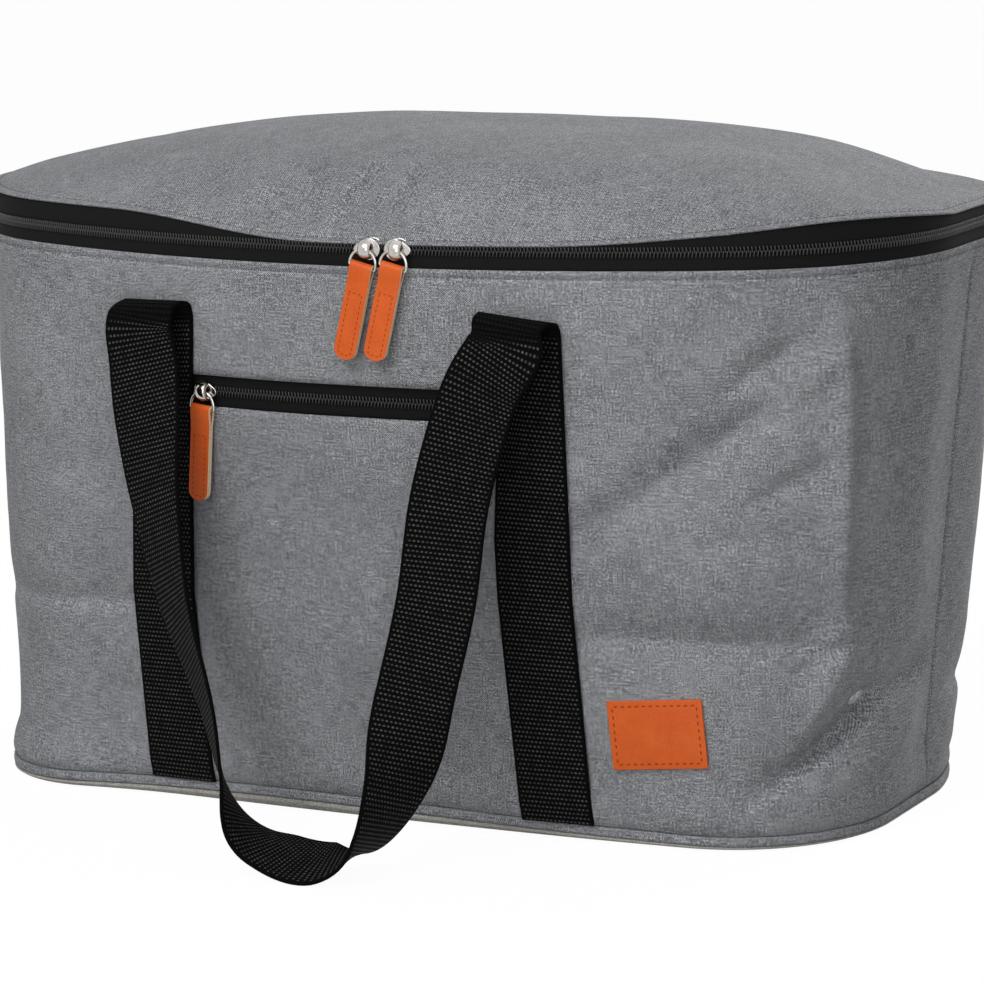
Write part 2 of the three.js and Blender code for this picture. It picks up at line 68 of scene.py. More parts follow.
# Cloth
CLOTH = 1.2
FULLNESS = 1.5
BASE_ROUND = 12
WELT_REACH = 1.0
WELT_RISE = 2.3
WELT_MIDDLE = 6.7
WELT_GIRTH = 12
WALL_FOOT = 8.8
LINING_INSET = 12
LINING = 0.6
LINING_FLOOR = 11
LINING_LENGTH = 620
LID_PAD = 9
LID_STITCH = 0.978
LID_SLACK_FROM = 0.62
LID_LINING_INSET = 3
HINGE_GAP = 0.4
HINGE_SAG = 1.6
EDGE_ROW = 5

# Zips
TAPE = 0.8
TAPE_SET = -0.7
TAPE_PARTING = 0.8
TOOTH_PITCH = 1.8
TOOTH = (0.85, 1.6, 3.1)
TOOTH_CROSSING = 0.5
TOOTH_SLANT = 9
TOOTH_SET = 0.2
POCKET_LINE = 214.5
POCKET_SLOT = 16
POCKET_HALF = 103.5
POCKET_LOW = POCKET_LINE - POCKET_SLOT / 2
POCKET_HIGH = POCKET_LINE + POCKET_SLOT / 2
POCKET_TUCK = 1.5
POCKET_TAPE_SET = -1.5
POCKET_TOOTH_SET = -0.6
POUCH_DEPTH = 170
POUCH_CLOTH = 0.6
POUCH_SIZE = (207, 194)

# Sliders, rings and pulls
SLIDER = (14, 11)
SLIDER_PLATE = 1.2
SLIDER_FRONT = -2.0
SLIDER_BACK = 2.5
CROWN = (5.5, 4.6, 4.4)
CROWN_BAR = 1.5
CROWN_FOOT = SLIDER_FRONT + 0.3
NECK = (3, 4.4, 1)
NECK_AT = (0.28 * SLIDER[0], 0.85)
WIRE = 0.75
PULL_SEAT = (0, -3.2, -0.225)
RING_RADIUS = 6.85
RING_SIDE = 1.8
RING_CORNER = 0.8
TAB = (11.5, 46)
TAB_ROUND = 5.2
TAB_STITCH_INSET = 2.3
TAB_STITCH_TOP = 13
LEATHER = 1.4
LEATHER_EDGE = 0.25
PULLS = {
    "left": (22, ZIP_LINE, 14, 1),
    "right": (38, ZIP_LINE, 14, -1),
    "pocket": (-77, POCKET_LINE, 5, -1),
}

# Handles
WEBBING = 38
WEBBING_CLOTH = 1.7
WEBBING_EDGE = 0.45
WEBBING_GAP = 0.55
STRAP_SPREAD = 104
FOLD_TOP = 260
FOLD_END = 246
FOLD_DEPTH = 18
LEG_STAND_OFF = WEBBING_GAP + WEBBING_CLOTH / 2 + 1
LEG_LENGTH = 275
LEG_TURN = 0.9
LEG_CREST = 88
LOOP_REACH = 72
LOOP_REST = 7
LOOP_TOP = FOLD_END - 0.3
LOOP_SAMPLES = 600
LOOP_HELD = (2, 22)
LOOP_PINCH = 0.06

# Patch
PATCH = (48, 34)
PATCH_CORNER = 1.2
PATCH_AT = (156.5, 57)
PATCH_TURN = 4.5
PATCH_SEAT = 0.7
PATCH_STITCH_INSET = 2.7

# Stitches: pitch, length, width and height
EDGE_STITCH = (3.4, 2.5, 0.5, 0.4)
TAB_STITCH = (2.6, 1.9, 0.6, 0.3)
PATCH_STITCH = (3.6, 2.3, 0.95, 0.45)

# Grids: columns across and rows along
WALL_GRID = (330, 120)
WELT_GRID = (320, 16)
BASE_GRID = (300, 48)
LINING_GRID = (280, 70)
LID_GRID = (420, 66)
LID_LINING_GRID = (260, 44)
HINGE_GRID = (80, 10)
TAPE_GRID = (320, 4)
POCKET_TAPE_GRID = (70, 3)
POUCH_GRID = (40, 50)
LEG_GRID = (12, 130)
LOOP_GRID = (12, 300)


def lerp(a, b, t):
    return a + (b - a) * t


def clamp(value, low=0.0, high=1.0):
    return max(low, min(high, value))


def ease(value, low, high):
    t = clamp((value - low) / (high - low))
    return t * t * (3 - 2 * t)


def hump(value, centre, width):
    return math.exp(-(((value - centre) / width) ** 2))


def between(t, stops, column=1):
    """Straight between stops, each a share and its values, of which one column is read."""
    for a, b in zip(stops, stops[1:]):
        if t <= b[0]:
            return lerp(a[column], b[column], (t - a[0]) / (b[0] - a[0]))
    return stops[-1][column]


def ripple(across, up, size, seed):
    """Smooth unevenness of about -1 to 1, with swells of that size."""
    return noise.noise(Vector((across / size, up / size, seed)))


def moved(at):
    """The move to a point in millimetres."""
    return Matrix.Translation(Vector(at) * MM)


def turned(degrees, axis):
    return Matrix.Rotation(math.radians(degrees), 4, axis)


# Plan of the bag: stretches of wall, each a length and a place with its outward direction
def level_at(z):
    """A height's share of the wall: 0 at the base seam, 1 at the top edge."""
    return clamp((z - SEAM) / (TOP - SEAM))


def bow_at(z):
    """Radius of the front's bow at a height."""
    return 1 / lerp(1 / BOW[0], 1 / BOW[1], level_at(z))


def straight(a, b):
    (ax, ay), (bx, by) = a, b
    length = math.hypot(bx - ax, by - ay)
    out = ((by - ay) / length, (ax - bx) / length)
    return length, lambda t: (lerp(ax, bx, t), lerp(ay, by, t), *out)


def arc(x, y, radius, start, stop):
    def place(t):
        angle = lerp(start, stop, t)
        c, s = math.cos(angle), math.sin(angle)
        return x + radius * c, y + radius * s, c, s

    return radius * (stop - start), place


@functools.lru_cache(maxsize=None)
def courses(z):
    """The plan at a height, walked left, front, right and back."""
    sizes = (HALF_WIDTH, FRONT, BACK, CORNER, REAR)
    half, front, back, corner, rear = (lerp(*pair, level_at(z)) for pair in sizes)
    bow = bow_at(z)
    bow_y = bow - front
    corner_x = half - corner
    corner_y = bow_y - math.sqrt((bow - corner) ** 2 - corner_x ** 2)
    reach = math.atan2(corner_x, bow_y - corner_y)
    rear_x, rear_y = half - rear, back - rear
    seam_y = (corner_y + rear_y) / 2
    west, south, east, north = math.pi, 1.5 * math.pi, 2 * math.pi, 0.5 * math.pi
    bend = [
        arc(-corner_x, corner_y, corner, west, south - reach),
        arc(0, bow_y, bow, south - reach, south + reach),
        arc(corner_x, corner_y, corner, south + reach, east),
    ]
    hinge = [straight((rear_x, back), (-rear_x, back))]
    right_rear = arc(rear_x, rear_y, rear, 0, north)
    left_rear = arc(-rear_x, rear_y, rear, north, west)

    def left(start, stop):
        return straight((-half, start), (-half, stop))

    def right(start, stop):
        return straight((half, start), (half, stop))

    zip_run = [left_rear, left(rear_y, corner_y), *bend, right(corner_y, rear_y), right_rear]
    return {
        "front": [left(seam_y, corner_y), *bend, right(corner_y, seam_y)],
        "back": [right(seam_y, rear_y), right_rear, *hinge, left_rear, left(rear_y, seam_y)],
        "zip": zip_run,
        "hinge": hinge,
        "ring": zip_run + hinge,
    }


def run_length(course, z):
    return sum(length for length, _ in courses(z)[course])


def stand(course, share, z, out=0.0):
    """A point of a course at a height, standing off by out, and the way outwards there."""
    stretches = courses(z)[course]
    goal = share * run_length(course, z)
    for length, place in stretches[:-1]:
        if goal <= length:
            break
        goal -= length
    else:
        length, place = stretches[-1]
    x, y, nx, ny = place(min(goal / length, 1.0))
    return Vector((x + nx * out, y + ny * out, z)), Vector((nx, ny, 0))


def front_y(x, z):
    bow = bow_at(z)
    return bow - lerp(*FRONT, level_at(z)) - math.sqrt(bow ** 2 - x ** 2)


def back_y(x, z):
    """The back wall, straight at any x."""
    return lerp(*BACK, level_at(z))


# Shader maths and materials
class Value:
    """A shader socket that takes part in sums."""

    def __init__(self, nodes, socket):
        self.nodes = nodes
        self.socket = socket

    def math(self, operation, *others):
        terms = dict(enumerate((self, *others)))
        return self.nodes.make("ShaderNodeMath", {"operation": operation}, terms)

    def __add__(self, other):
        return self.math("ADD", other)

    def __sub__(self, other):
        return self.math("SUBTRACT", other)

    def __mul__(self, other):
        return self.math("MULTIPLY", other)

    def __truediv__(self, other):
        return self.math("DIVIDE", other)

    def __rsub__(self, other):
        return self.nodes.make("ShaderNodeMath", {"operation": "SUBTRACT"}, {0: other, 1: self})

    __radd__ = __add__
    __rmul__ = __mul__

    def within(self, low, high):
        """0 below low, 1 above high, and smooth between."""
        return self.nodes.make(
            "ShaderNodeMapRange", {"interpolation_type": "SMOOTHSTEP"}, {0: self, 1: low, 2: high})

    def stretched(self, *scale):
        return self.nodes.make("ShaderNodeVectorMath", {"operation": "MULTIPLY"}, {0: self, 1: scale})

    def parts(self):
        return [self.nodes.make("ShaderNodeSeparateXYZ", {}, {0: self}, output=i) for i in range(3)]


class Nodes:
    """A tree of shader nodes, and the method that makes them."""

    def __init__(self, tree):
        self.tree = tree

    def link(self, value, socket):
        self.tree.links.new(value.socket, socket)

    def make(self, kind, settings, sockets, output=0):
        node = self.tree.nodes.new(kind)
        for key, value in settings.items():
            if key == "stops":
                ramp = node.color_ramp
                while len(ramp.elements) < len(value):
                    ramp.elements.new(0.5)
                for element, (place, colour) in zip(ramp.elements, value):
                    element.position = place
                    element.color = (*colour, 1)
            else:
                setattr(node, key, value)
        for key, value in sockets.items():
            if isinstance(value, Value):
                self.link(value, node.inputs[key])
            else:
                node.inputs[key].default_value = value
        return Value(self, node.outputs[output])

    def seen(self):
        """1 for rays that show the background: to the camera, in metal and through glass."""
        kinds = ("Is Camera Ray", "Is Glossy Ray", "Is Transmission Ray")
        camera, metal, glass = (self.make("ShaderNodeLightPath", {}, {}, output=kind) for kind in kinds)
        return camera.math("MAXIMUM", metal).math("MAXIMUM", glass)


class Finish(Nodes):
    """A material on one Principled shader."""

    def __init__(self, name, **constants):
        self.material = bpy.data.materials.new(name)
        self.material.use_nodes = True
        super().__init__(self.material.node_tree)
        self.shader = next(n for n in self.tree.nodes if n.type == "BSDF_PRINCIPLED")
        for socket, value in constants.items():
            self.shader.inputs[socket.replace("_", " ")].default_value = value

    def uv(self):
        return self.make("ShaderNodeUVMap", {"uv_map": UV}, {})

    def place(self):
        return self.make("ShaderNodeTexCoord", {}, {}, output="Object")

    def speckle(self, at, scale=1.0, detail=2.0):
        return self.make("ShaderNodeTexNoise", {}, {"Vector": at, "Scale": scale, "Detail": detail})

    def cells(self, at, scale):
        return self.make("ShaderNodeTexVoronoi", {}, {"Vector": at, "Scale": scale})

    def tint(self, factor, stops):
        return self.make("ShaderNodeValToRGB", {"stops": stops}, {0: factor})

    def feed(self, **sockets):
        for socket, value in sockets.items():
            self.link(value, self.shader.inputs[socket.replace("_", " ")])

    def relief(self, height, depth, strength=1.0):
        """Raises the surface by a height of 0 to 1, times a depth in millimetres."""
        normal = self.make(
            "ShaderNodeBump", {}, {"Strength": strength, "Distance": depth * MM, "Height": height})
        self.feed(Normal=normal)


THREAD = 1.15 * MM
TURN = 2 * math.pi


def heather_cloth(name, dark, middle, light):
    """Polyester in mixed greys: an uneven fine weave, long threads both ways and soft clouding."""
    finish = Finish(name, Roughness=0.9, Sheen_Weight=0.08, Specular_IOR_Level=0.2)
    uv = finish.uv()
    u, v, _ = uv.parts()
    weft = finish.speckle(uv.stretched(110, 1800, 1))
    warp = finish.speckle(uv.stretched(1800, 110, 1))
    fleck = finish.speckle(uv.stretched(1150, 1150, 1), detail=1.0)
    uneven = finish.speckle(uv.stretched(110, 110, 1)).within(0.3, 0.75)
    cloud = finish.speckle(uv.stretched(20, 20, 1), detail=5.0)
    weave = (u * (TURN / THREAD)).math("SINE") * (v * (TURN / THREAD)).math("SINE")
    tone = weft * 0.9 + warp * 0.8 + fleck * 1.8 + cloud * 0.3 + weave * (uneven * 0.55 + 0.1) - 1.4
    finish.feed(Base_Color=finish.tint(tone, [(0.0, dark), (0.5, middle), (1.0, light)]))
    finish.feed(Roughness=0.82 + fleck * 0.16)
    finish.relief(weave * 0.35 + weft * 0.5 + warp * 0.5, 0.2, 0.5)
    return finish.material


RIB = 2.35 * MM
DOT = 2.12 * MM


def webbing_weave():
    """Black webbing: ribs across it, rows of lighter crossings set in turn, with painted shade that dims the
    crossings over the fold crests.
    """
    finish = Finish("webbing_weave", Roughness=0.8, Specular_IOR_Level=0.06)
    uv = finish.uv()
    u, v, _ = uv.parts()
    row = v / RIB
    shift = row.math("FLOOR").math("MODULO", 2.0) * 0.5
    across = (u / DOT + shift).math("FRACT") - 0.5
    along = row.math("FRACT") - 0.5
    spot = (across * across * 6.0 + along * along * 14.0).math("SQRT")
    selvedge = u.within(1.0 * MM, 1.8 * MM) * (1 - u.within((WEBBING - 1.8) * MM, (WEBBING - 1.0) * MM))
    crossing = (1 - spot.within(0.3, 1.2)) * selvedge
    rib = 1 - (along * 2.0).math("ABSOLUTE").within(0.45, 1.0)
    fibre = finish.speckle(uv.stretched(2600, 900, 1))
    patchy = finish.speckle(uv.stretched(260, 120, 1))
    up = finish.place().parts()[2]
    # Painted shade: above the fold's end the crossings are dimmed to 15 percent, so the upturned crests show
    # plain dark
    painted_crest_shade = 1 - up.within((FOLD_END + 1) * MM, (FOLD_END + 6) * MM) * 0.85
    shine = crossing * (fibre * 1.3 + patchy * 1.2 - 0.5) * painted_crest_shade
    finish.feed(Base_Color=finish.tint(shine, [
        (0.0, (0.0014, 0.0014, 0.0015)), (0.35, (0.014, 0.014, 0.014)), (1.0, (0.11, 0.11, 0.108))]))
    finish.feed(Roughness=0.9 - crossing * 0.25)
    finish.relief(rib * 0.55 + crossing * 0.6 + fibre * 0.15, 0.45, 0.8)
    return finish.material


def tape_weave():
    """Black zip tape with a fine cross rib."""
    finish = Finish("tape_weave", Roughness=0.85, Specular_IOR_Level=0.12)
    uv = finish.uv()
    rib = (uv.parts()[0] * (TURN / (0.8 * MM))).math("SINE") * 0.5 + 0.5
    grain = finish.speckle(uv.stretched(900, 2500, 1))
    finish.feed(Base_Color=finish.tint(grain * 0.8 + rib * 0.2, [
        (0.2, (0.0035, 0.0035, 0.0037)), (0.8, (0.0125, 0.0125, 0.013))]))
    finish.feed(Roughness=0.78 + grain * 0.18)
    finish.relief(rib * 0.6 + grain * 0.4, 0.12, 0.6)
    return finish.material


def tan_leather():
    """Smooth orange leather: fine pebble grain, slow changes of colour."""
    finish = Finish("tan_leather", Specular_IOR_Level=0.3)
    at = finish.place()
    grain = finish.cells(at, 1500.0)
    cloud = finish.speckle(at, 90.0, 3.0)
    finish.feed(Base_Color=finish.tint(cloud * 0.5 + grain * 0.35 + 0.15, [
        (0.25, (0.60, 0.080, 0.008)), (0.6, (0.71, 0.118, 0.015)), (0.9, (0.79, 0.155, 0.028))]))
    finish.feed(Roughness=0.42 + cloud * 0.16)
    finish.relief(grain + cloud * 0.6, 0.12, 0.35)
    return finish.material


def speckled(name, colours, scale, detail=2.0, gloss=None, relief=None, **constants):
    """A plain finish with fine noise in its colour, and where given in its gloss and relief."""
    finish = Finish(name, **constants)
    grain = finish.speckle(finish.place(), scale, detail)
    finish.feed(Base_Color=finish.tint(grain, colours))
    if gloss:
        finish.feed(Roughness=gloss[0] + grain * gloss[1])
    if relief:
        finish.relief(grain, *relief)
    return finish.material


def sewing_thread(name, dark, light):
    return speckled(name, [(0.3, dark), (0.7, light)], 2200, Roughness=0.7, Specular_IOR_Level=0.1)


def silver_lining():
    """Welded film lining: silver, crinkled, with a fine emboss."""
    finish = Finish("silver_lining", Metallic=0.75)
    uv = finish.uv()
    crinkle = finish.speckle(uv, 42.0, 5.0)
    emboss = finish.cells(uv, 420.0)
    finish.feed(Base_Color=finish.tint(crinkle, [(0.3, (0.46, 0.47, 0.49)), (0.7, (0.68, 0.69, 0.71))]))
    finish.feed(Roughness=0.24 + crinkle * 0.22)
    finish.relief(crinkle + emboss * 0.15, 2.2, 0.6)
    return finish.material


def pocket_cloth():
    finish = Finish("pocket_cloth", Roughness=0.85)
    weave = finish.speckle(finish.uv().stretched(1500, 1500, 1))
    finish.feed(Base_Color=finish.tint(weave, [(0.3, (0.012, 0.012, 0.013)), (0.7, (0.03, 0.03, 0.031))]))
    finish.relief(weave, 0.1, 0.5)
    return finish.material


cloth = heather_cloth("grey_heather", (0.060, 0.064, 0.070), (0.215, 0.222, 0.235), (0.56, 0.575, 0.60))
# The base's cloth is the grey heather in lighter, warmer tones: painted light, bounced up from the floor onto
# the underside's rounding
bounce_lit_base_cloth = heather_cloth("base_heather_painted_bounce", (0.14, 0.132, 0.12), (0.36, 0.345, 0.32), (0.66, 0.64, 0.60))
webbing = webbing_weave()
tape = tape_weave()
nylon = speckled(
    "coil_nylon", [(0.3, (0.004, 0.004, 0.0045)), (0.75, (0.016, 0.016, 0.0165))], 1400,
    gloss=(0.34, 0.2), Specular_IOR_Level=0.45)
leather = tan_leather()
leather_edge = speckled(
    "raw_leather_edge", [(0.3, (0.90, 0.64, 0.38)), (0.7, (0.98, 0.84, 0.62))], 900, 4,
    relief=(0.2, 0.5), Roughness=0.85)
leather_thread = sewing_thread("leather_thread", (0.33, 0.046, 0.005), (0.52, 0.080, 0.011))
grey_thread = sewing_thread("grey_thread", (0.06, 0.062, 0.066), (0.16, 0.163, 0.17))
nickel = speckled(
    "bright_nickel", [(0.3, (0.42, 0.40, 0.37)), (0.75, (0.66, 0.64, 0.61))], 260, 4,
    gloss=(0.08, 0.14), relief=(0.05, 0.2), Metallic=1.0)
foil = silver_lining()
lining_cloth = pocket_cloth()


# Making pieces
def piece(name, bm, materials, body=None, replaces=()):
    """A finished mesh at the origin, riding on its body."""
    mesh = bpy.data.meshes.new(name)
    for face in bm.faces:
        face.smooth = True
    bm.to_mesh(mesh)
    bm.free()
    thing = bpy.data.objects.new(name, mesh)
    bpy.context.scene.collection.objects.link(thing)
    for material in materials:
        mesh.materials.append(material)
    if replaces:
        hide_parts(*replaces)
    if body:
        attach(thing, body)
    return thing


def laid_grid(size, place, measure, closed=False):
    """A grid whose shares across and along go to a place and to a weave measure, in millimetres."""
    bm = bmesh.new()
    bmesh.ops.create_grid(bm, x_segments=size[0], y_segments=size[1], size=0.5)
    layer = bm.loops.layers.uv.new(UV)
    for face in bm.faces:
        for loop in face.loops:
            u, v = measure(loop.vert.co.x + 0.5, loop.vert.co.y + 0.5)
            loop[layer].uv = (u * MM, v * MM)
    for vert in bm.verts:
        vert.co = place(vert.co.x + 0.5, vert.co.y + 0.5) * MM
    if closed:
        bmesh.ops.remove_doubles(bm, verts=bm.verts, dist=0.01 * MM)
    return bm


def thicken(thing, thickness, offset=-1.0, rim=0, edge=0.0):
    solid = thing.modifiers.new("thickness", "SOLIDIFY")
    solid.thickness = thickness * MM
    solid.offset = offset
    solid.material_offset_rim = rim
    if edge:
        bevel = thing.modifiers.new("soft_edge", "BEVEL")
        bevel.width = edge * MM
        bevel.segments = 2
        bevel.limit_method = "ANGLE"
        bevel.angle_limit = math.radians(50)


def basis(at, along, out):
    """A frame at a point: X along, Z outwards, in metres."""
    along = along.normalized()
    side = out.cross(along).normalized()
    out = along.cross(side)
    turn = Matrix((along, side, out)).transposed().to_4x4()
    return moved(at) @ turn


def set_down(bm, matrix):
    """Moves a whole mesh to its place."""
    bmesh.ops.transform(bm, matrix=matrix, verts=bm.verts)
    return bm


def rounded(bm, edges, width, segments):
    bmesh.ops.bevel(
        bm, geom=edges, offset=width, segments=segments, profile=0.5, affect="EDGES", material=-1)


def stitch_row(bm, line, pitch, length, width, height):
    """Stitches along a line of points with their outward directions."""
    spent = pitch / 2
    for (a, out), (b, _) in zip(line, line[1:]):
        span = (b - a).length
        while spent < span:
            size = Matrix.Diagonal((length / 2 * MM, width / 2 * MM, height / 2 * MM, 1))
            at = basis(a.lerp(b, spent / span), b - a, out)
            bmesh.ops.create_icosphere(bm, subdivisions=1, radius=1, matrix=at @ size)
            spent += pitch
        spent -= span


# Tub: front, back, base, welt and lining
FRONT_FOLDS = [
    ((206, 28), (278, 70), -12, 16, 4.5),
    ((262, 66), (334, 76), -8, 15, 5),
    ((236, 28), (326, 56), 3, 12, 12),
    ((214, 32), (254, 104), 5.5, 10, 11),
    ((222, 85), (250, 98), -3, 5, 3),
    ((238, 100), (254, 110), 3, 6, 6),
    ((124, 101), (242, 98), -9.5, 17, 4),
    ((122, 152), (220, 218), -9, 14, 11),
    ((194, 223), (234, 248), -5.5, 8, 7),
    ((220, 217), (254, 241), 3, 8, 8),
    ((206, 169), (248, 189), -5, 7, 6),
    ((178, 149), (234, 155), -2.6, 7, 5),
    ((254, 248), (247, 108), 5.5, 9, 9),
    ((-240, 93), (-124, 101), -4.5, 14, 3.5),
    ((-230, 190), (-150, 160), -2, 14, 10),
    ((-60, 120), (40, 96), -1.5, 16, 12),
]
BACK_FOLDS = [
    ((-330, 56), (-170, 46), -3, 14, 6),
    ((-330, 17), (-190, 22), -2, 7, 7),
    ((60, 150), (200, 110), -2, 14, 8),
    ((-140, 160), (-40, 210), -1.8, 12, 8),
    ((190, 40), (300, 90), -4, 14, 6),
]


def fold(across, up, start, stop, height, left, right):
    """A crease or ridge along a line on the cloth, its two sides of their own width, fading at its ends."""
    (ax, ay), (bx, by) = start, stop
    length = math.hypot(bx - ax, by - ay)
    tx, ty = (bx - ax) / length, (by - ay) / length
    along = (across - ax) * tx + (up - ay) * ty
    away = (up - ay) * tx - (across - ax) * ty
    ends = ease(along, -0.2 * length, 0.25 * length) * (1 - ease(along, 0.75 * length, 1.2 * length))
    return height * ends / (1 + (away / (left if away > 0 else right)) ** 2) ** 2


CORNER_SLACK = [(8, -12), (20, -12), (40, -9), (82, -7), (150, -7), (215, -8), (250, -5), (274, -1), (282, 0)]
CORNER_FULL = [(8, 11), (14, 10), (26, 4.5), (60, 2), (130, 0), (282, 0)]
SIDE_SLACK = [(8, 0), (130, -0.5), (200, -2.5), (240, -3.5), (270, -1), (282, 0)]


def corners(at, z):
    """Slack at the rear corners, more on the right, and a full front corner at the left of the base."""
    right, left = (ease(side * at.x, 120, 235) for side in (1, -1))
    full = hump(math.hypot(at.x + 203, at.y + 115), 0, 52)
    slack = between(z, CORNER_SLACK) * (right + 0.5 * left) * ease(at.y, 15, 85)
    return slack + between(z, CORNER_FULL) * full


def seam_pull(z):
    """Where front and back cloth meet: drawn in a little, with the puckers of its stitching."""
    level = level_at(z)
    loose = ease(level, 0.02, 0.1) * (1 - ease(level, 0.93, 1.0))
    return loose * (0.5 * ripple(z, 0, 7, 3) - 1.6) - foot_tuck(z) - rim_tuck(z)


def foot_tuck(z):
    """The cloth is drawn in at the base seam."""
    return 1.3 * (1 - ease(z, WALL_FOOT, WALL_FOOT + 4))


def seam_lift(x):
    """The base seam stands higher in the middle, where the base bellies, than at the corners."""
    return 4.8 * hump(x, -40, 150) - 2.2


def rim_tuck(z):
    """The row of stitches and the turned edge at the top draw the cloth in."""
    return hump(z, TOP - EDGE_ROW, 1.2) + 1.3 * ease(z, TOP - 2, TOP)


def drape(course, across, z):
    """How far the cloth stands off its plan: fullness, unevenness, seams and folds."""
    folds, seed = (FRONT_FOLDS, 3) if course == "front" else (BACK_FOLDS, 11)
    level = level_at(z)
    out = FULLNESS * math.sin(math.pi * level) + 1.4 * hump(z, SEAM + 11, 8)
    loose = ease(level, 0.0, 0.12) * (1 - ease(level, 0.9, 1.0))
    out += loose * (2.0 * ripple(across, z, 130, seed) + 0.8 * ripple(across, z, 52, seed + 7))
    out += loose * 0.25 * ripple(across, z, 17, seed + 5)
    out += sum(fold(across, z, *line) for line in folds)
    if course == "front":
        out += between(z, SIDE_SLACK) * ease(-across, 170, 300)
    out -= foot_tuck(z) + rim_tuck(z)
    reach = run_length(course, z) / 2 - abs(across)
    near = ease(reach, 0, 42)
    return lerp(seam_pull(z), out, near) - loose * 1.3 * hump(reach, 0, 1.6)


SLOT_END = STRAP_SPREAD - 6
WALL_RISES = [
    (0, WALL_FOOT), (0.1, 22), (55 / 120, 115), (0.675, POCKET_LOW), (0.725, POCKET_HIGH),
    (0.825, 268), (1, TOP),
]
WALL_SPREAD = [(0, 0), (0.06, 0.012), (0.94, 0.988), (1, 1)]


def wall_point(course, share, z, out=0.0):
    """A point of the draped wall, and the way outwards there."""
    across = (share - 0.5) * run_length(course, z)
    at, way = stand(course, share, z)
    at += way * (drape(course, across, z) + corners(at, z) + out)
    at.z += seam_lift(at.x) * (1 - ease(z, WALL_FOOT, 50))
    return at, way


def wall_cloth(course):
    width = run_length(course, (SEAM + TOP) / 2)

    def spread(u, v):
        return between(u, WALL_SPREAD), between(v, WALL_RISES)

    def place(u, v):
        return wall_point(course, *spread(u, v))[0]

    def measure(u, v):
        share, z = spread(u, v)
        return share * width, z

    return laid_grid(WALL_GRID, place, measure)


def build_walls():
    front = wall_cloth("front")
    slot = []
    for face in front.faces:
        at = face.calc_center_median() / MM
        if POCKET_LOW < at.z < POCKET_HIGH and at.y < 0 and abs(at.x) < SLOT_END:
            slot.append(face)
    bmesh.ops.delete(front, geom=slot, context="FACES")
    for name, sheet in (("front", front), ("back", wall_cloth("back"))):
        made = piece(f"{name}_cloth", sheet, [cloth], "tub", [f"{name}_panel"])
        thicken(made, CLOTH)

    rows = bmesh.new()
    spots = 400
    for course in ("front", "back"):
        line = [wall_point(course, i / spots, TOP - EDGE_ROW, 0.1) for i in range(spots + 1)]
        stitch_row(rows, line, *EDGE_STITCH)
    piece("top_edge_stitches", rows, [grey_thread], "tub")


def build_welt():
    perimeter = run_length("ring", SEAM)

    def place(u, v):
        angle = v * TURN
        c, s = math.cos(angle), math.sin(angle)
        puff = 1 + 0.15 * ripple(u * perimeter, 0, 26, 2)
        at, out = stand("ring", u, SEAM)
        reach = WELT_REACH * math.copysign(abs(c) ** 0.6, c) * puff - 0.5 + corners(at, SEAM)
        rise = WELT_MIDDLE + seam_lift(at.x) + WELT_RISE * math.copysign(abs(s) ** 0.8, s)
        return Vector((at.x, at.y, rise)) + out * reach

    rolled = laid_grid(WELT_GRID, place, lambda u, v: (u * perimeter, v * WELT_GIRTH), closed=True)
    piece("base_welt_band", rolled, [cloth], "tub", ["base_welt"])


# The base: flat to a share of the way out, then turned up by these reaches and heights
BASE_FLAT = 0.55
BASE_TURN = [
    (0, 0, 0), (BASE_FLAT, 0, 0), (0.62, 2.5, 0.1), (0.72, 7, 0.5), (0.82, 10.5, 1.4), (0.92, 12.2, 2.8),
    (0.97, 12.0, 3.7), (1, 10.6, 4.4),
]
BASE_TURN_LENGTH = 22


def build_base():
    def place(u, v):
        at, out = stand("ring", u, SEAM, -BASE_ROUND)
        share = clamp(v / BASE_FLAT)
        at += out * corners(at + out * BASE_ROUND, SEAM)
        z = between(v, BASE_TURN, 2) * (1 + seam_lift(at.x) / BASE_TURN[-1][2])
        return Vector((at.x * share, at.y * share, z)) + out * between(v, BASE_TURN, 1)

    def measure(u, v):
        at, out = stand("ring", u, SEAM, -BASE_ROUND)
        turn = clamp((v - BASE_FLAT) / (1 - BASE_FLAT))
        at = at * clamp(v / BASE_FLAT) + out * BASE_TURN_LENGTH * turn
        return at.x, at.y

    bottom = laid_grid(BASE_GRID, place, measure, closed=True)
    thicken(piece("base_cloth", bottom, [bounce_lit_base_cloth], "tub", ["base_panel"]), CLOTH)


# The lining from the top edge down and in, each stop with its inset and height
LINING_FLAT = 0.64
LINING_WALL = [
    (0, 3.6, TOP - 2.5), (0.04, 5.0, TOP), (0.08, LINING_INSET - 0.5, TOP - 0.5),
    (0.12, LINING_INSET, TOP - 6), (0.6, LINING_INSET, LINING_FLOOR + 4),
    (LINING_FLAT, LINING_INSET + 3, LINING_FLOOR), (1, LINING_INSET + 3, LINING_FLOOR),
]


def build_tub_lining():
    perimeter = run_length("ring", SEAM)

    def place(u, v):
        z = between(v, LINING_WALL, 2)
        shrink = 1 - clamp((v - LINING_FLAT) / (1 - LINING_FLAT))
        at, out = stand("ring", u, z, -between(v, LINING_WALL, 1))
        loose = ease(v, 0.1, 0.2) * (1 - ease(v, 0.55, 0.62))
        crumple = 2.2 * ripple(u * perimeter, z, 70, 5) + 1.2 * ripple(u * perimeter, z, 26, 9)
        at += out * loose * min(0.0, corners(at, z))
        at -= out * loose * abs(crumple)
        return Vector((at.x * shrink, at.y * shrink, z))

    inside = laid_grid(LINING_GRID, place, lambda u, v: (u * perimeter, v * LINING_LENGTH), closed=True)
    replaced = ["body_liner", "wall_foam", "base_foam"]
    thicken(piece("tub_lining", inside, [foil], "tub", replaced), LINING)


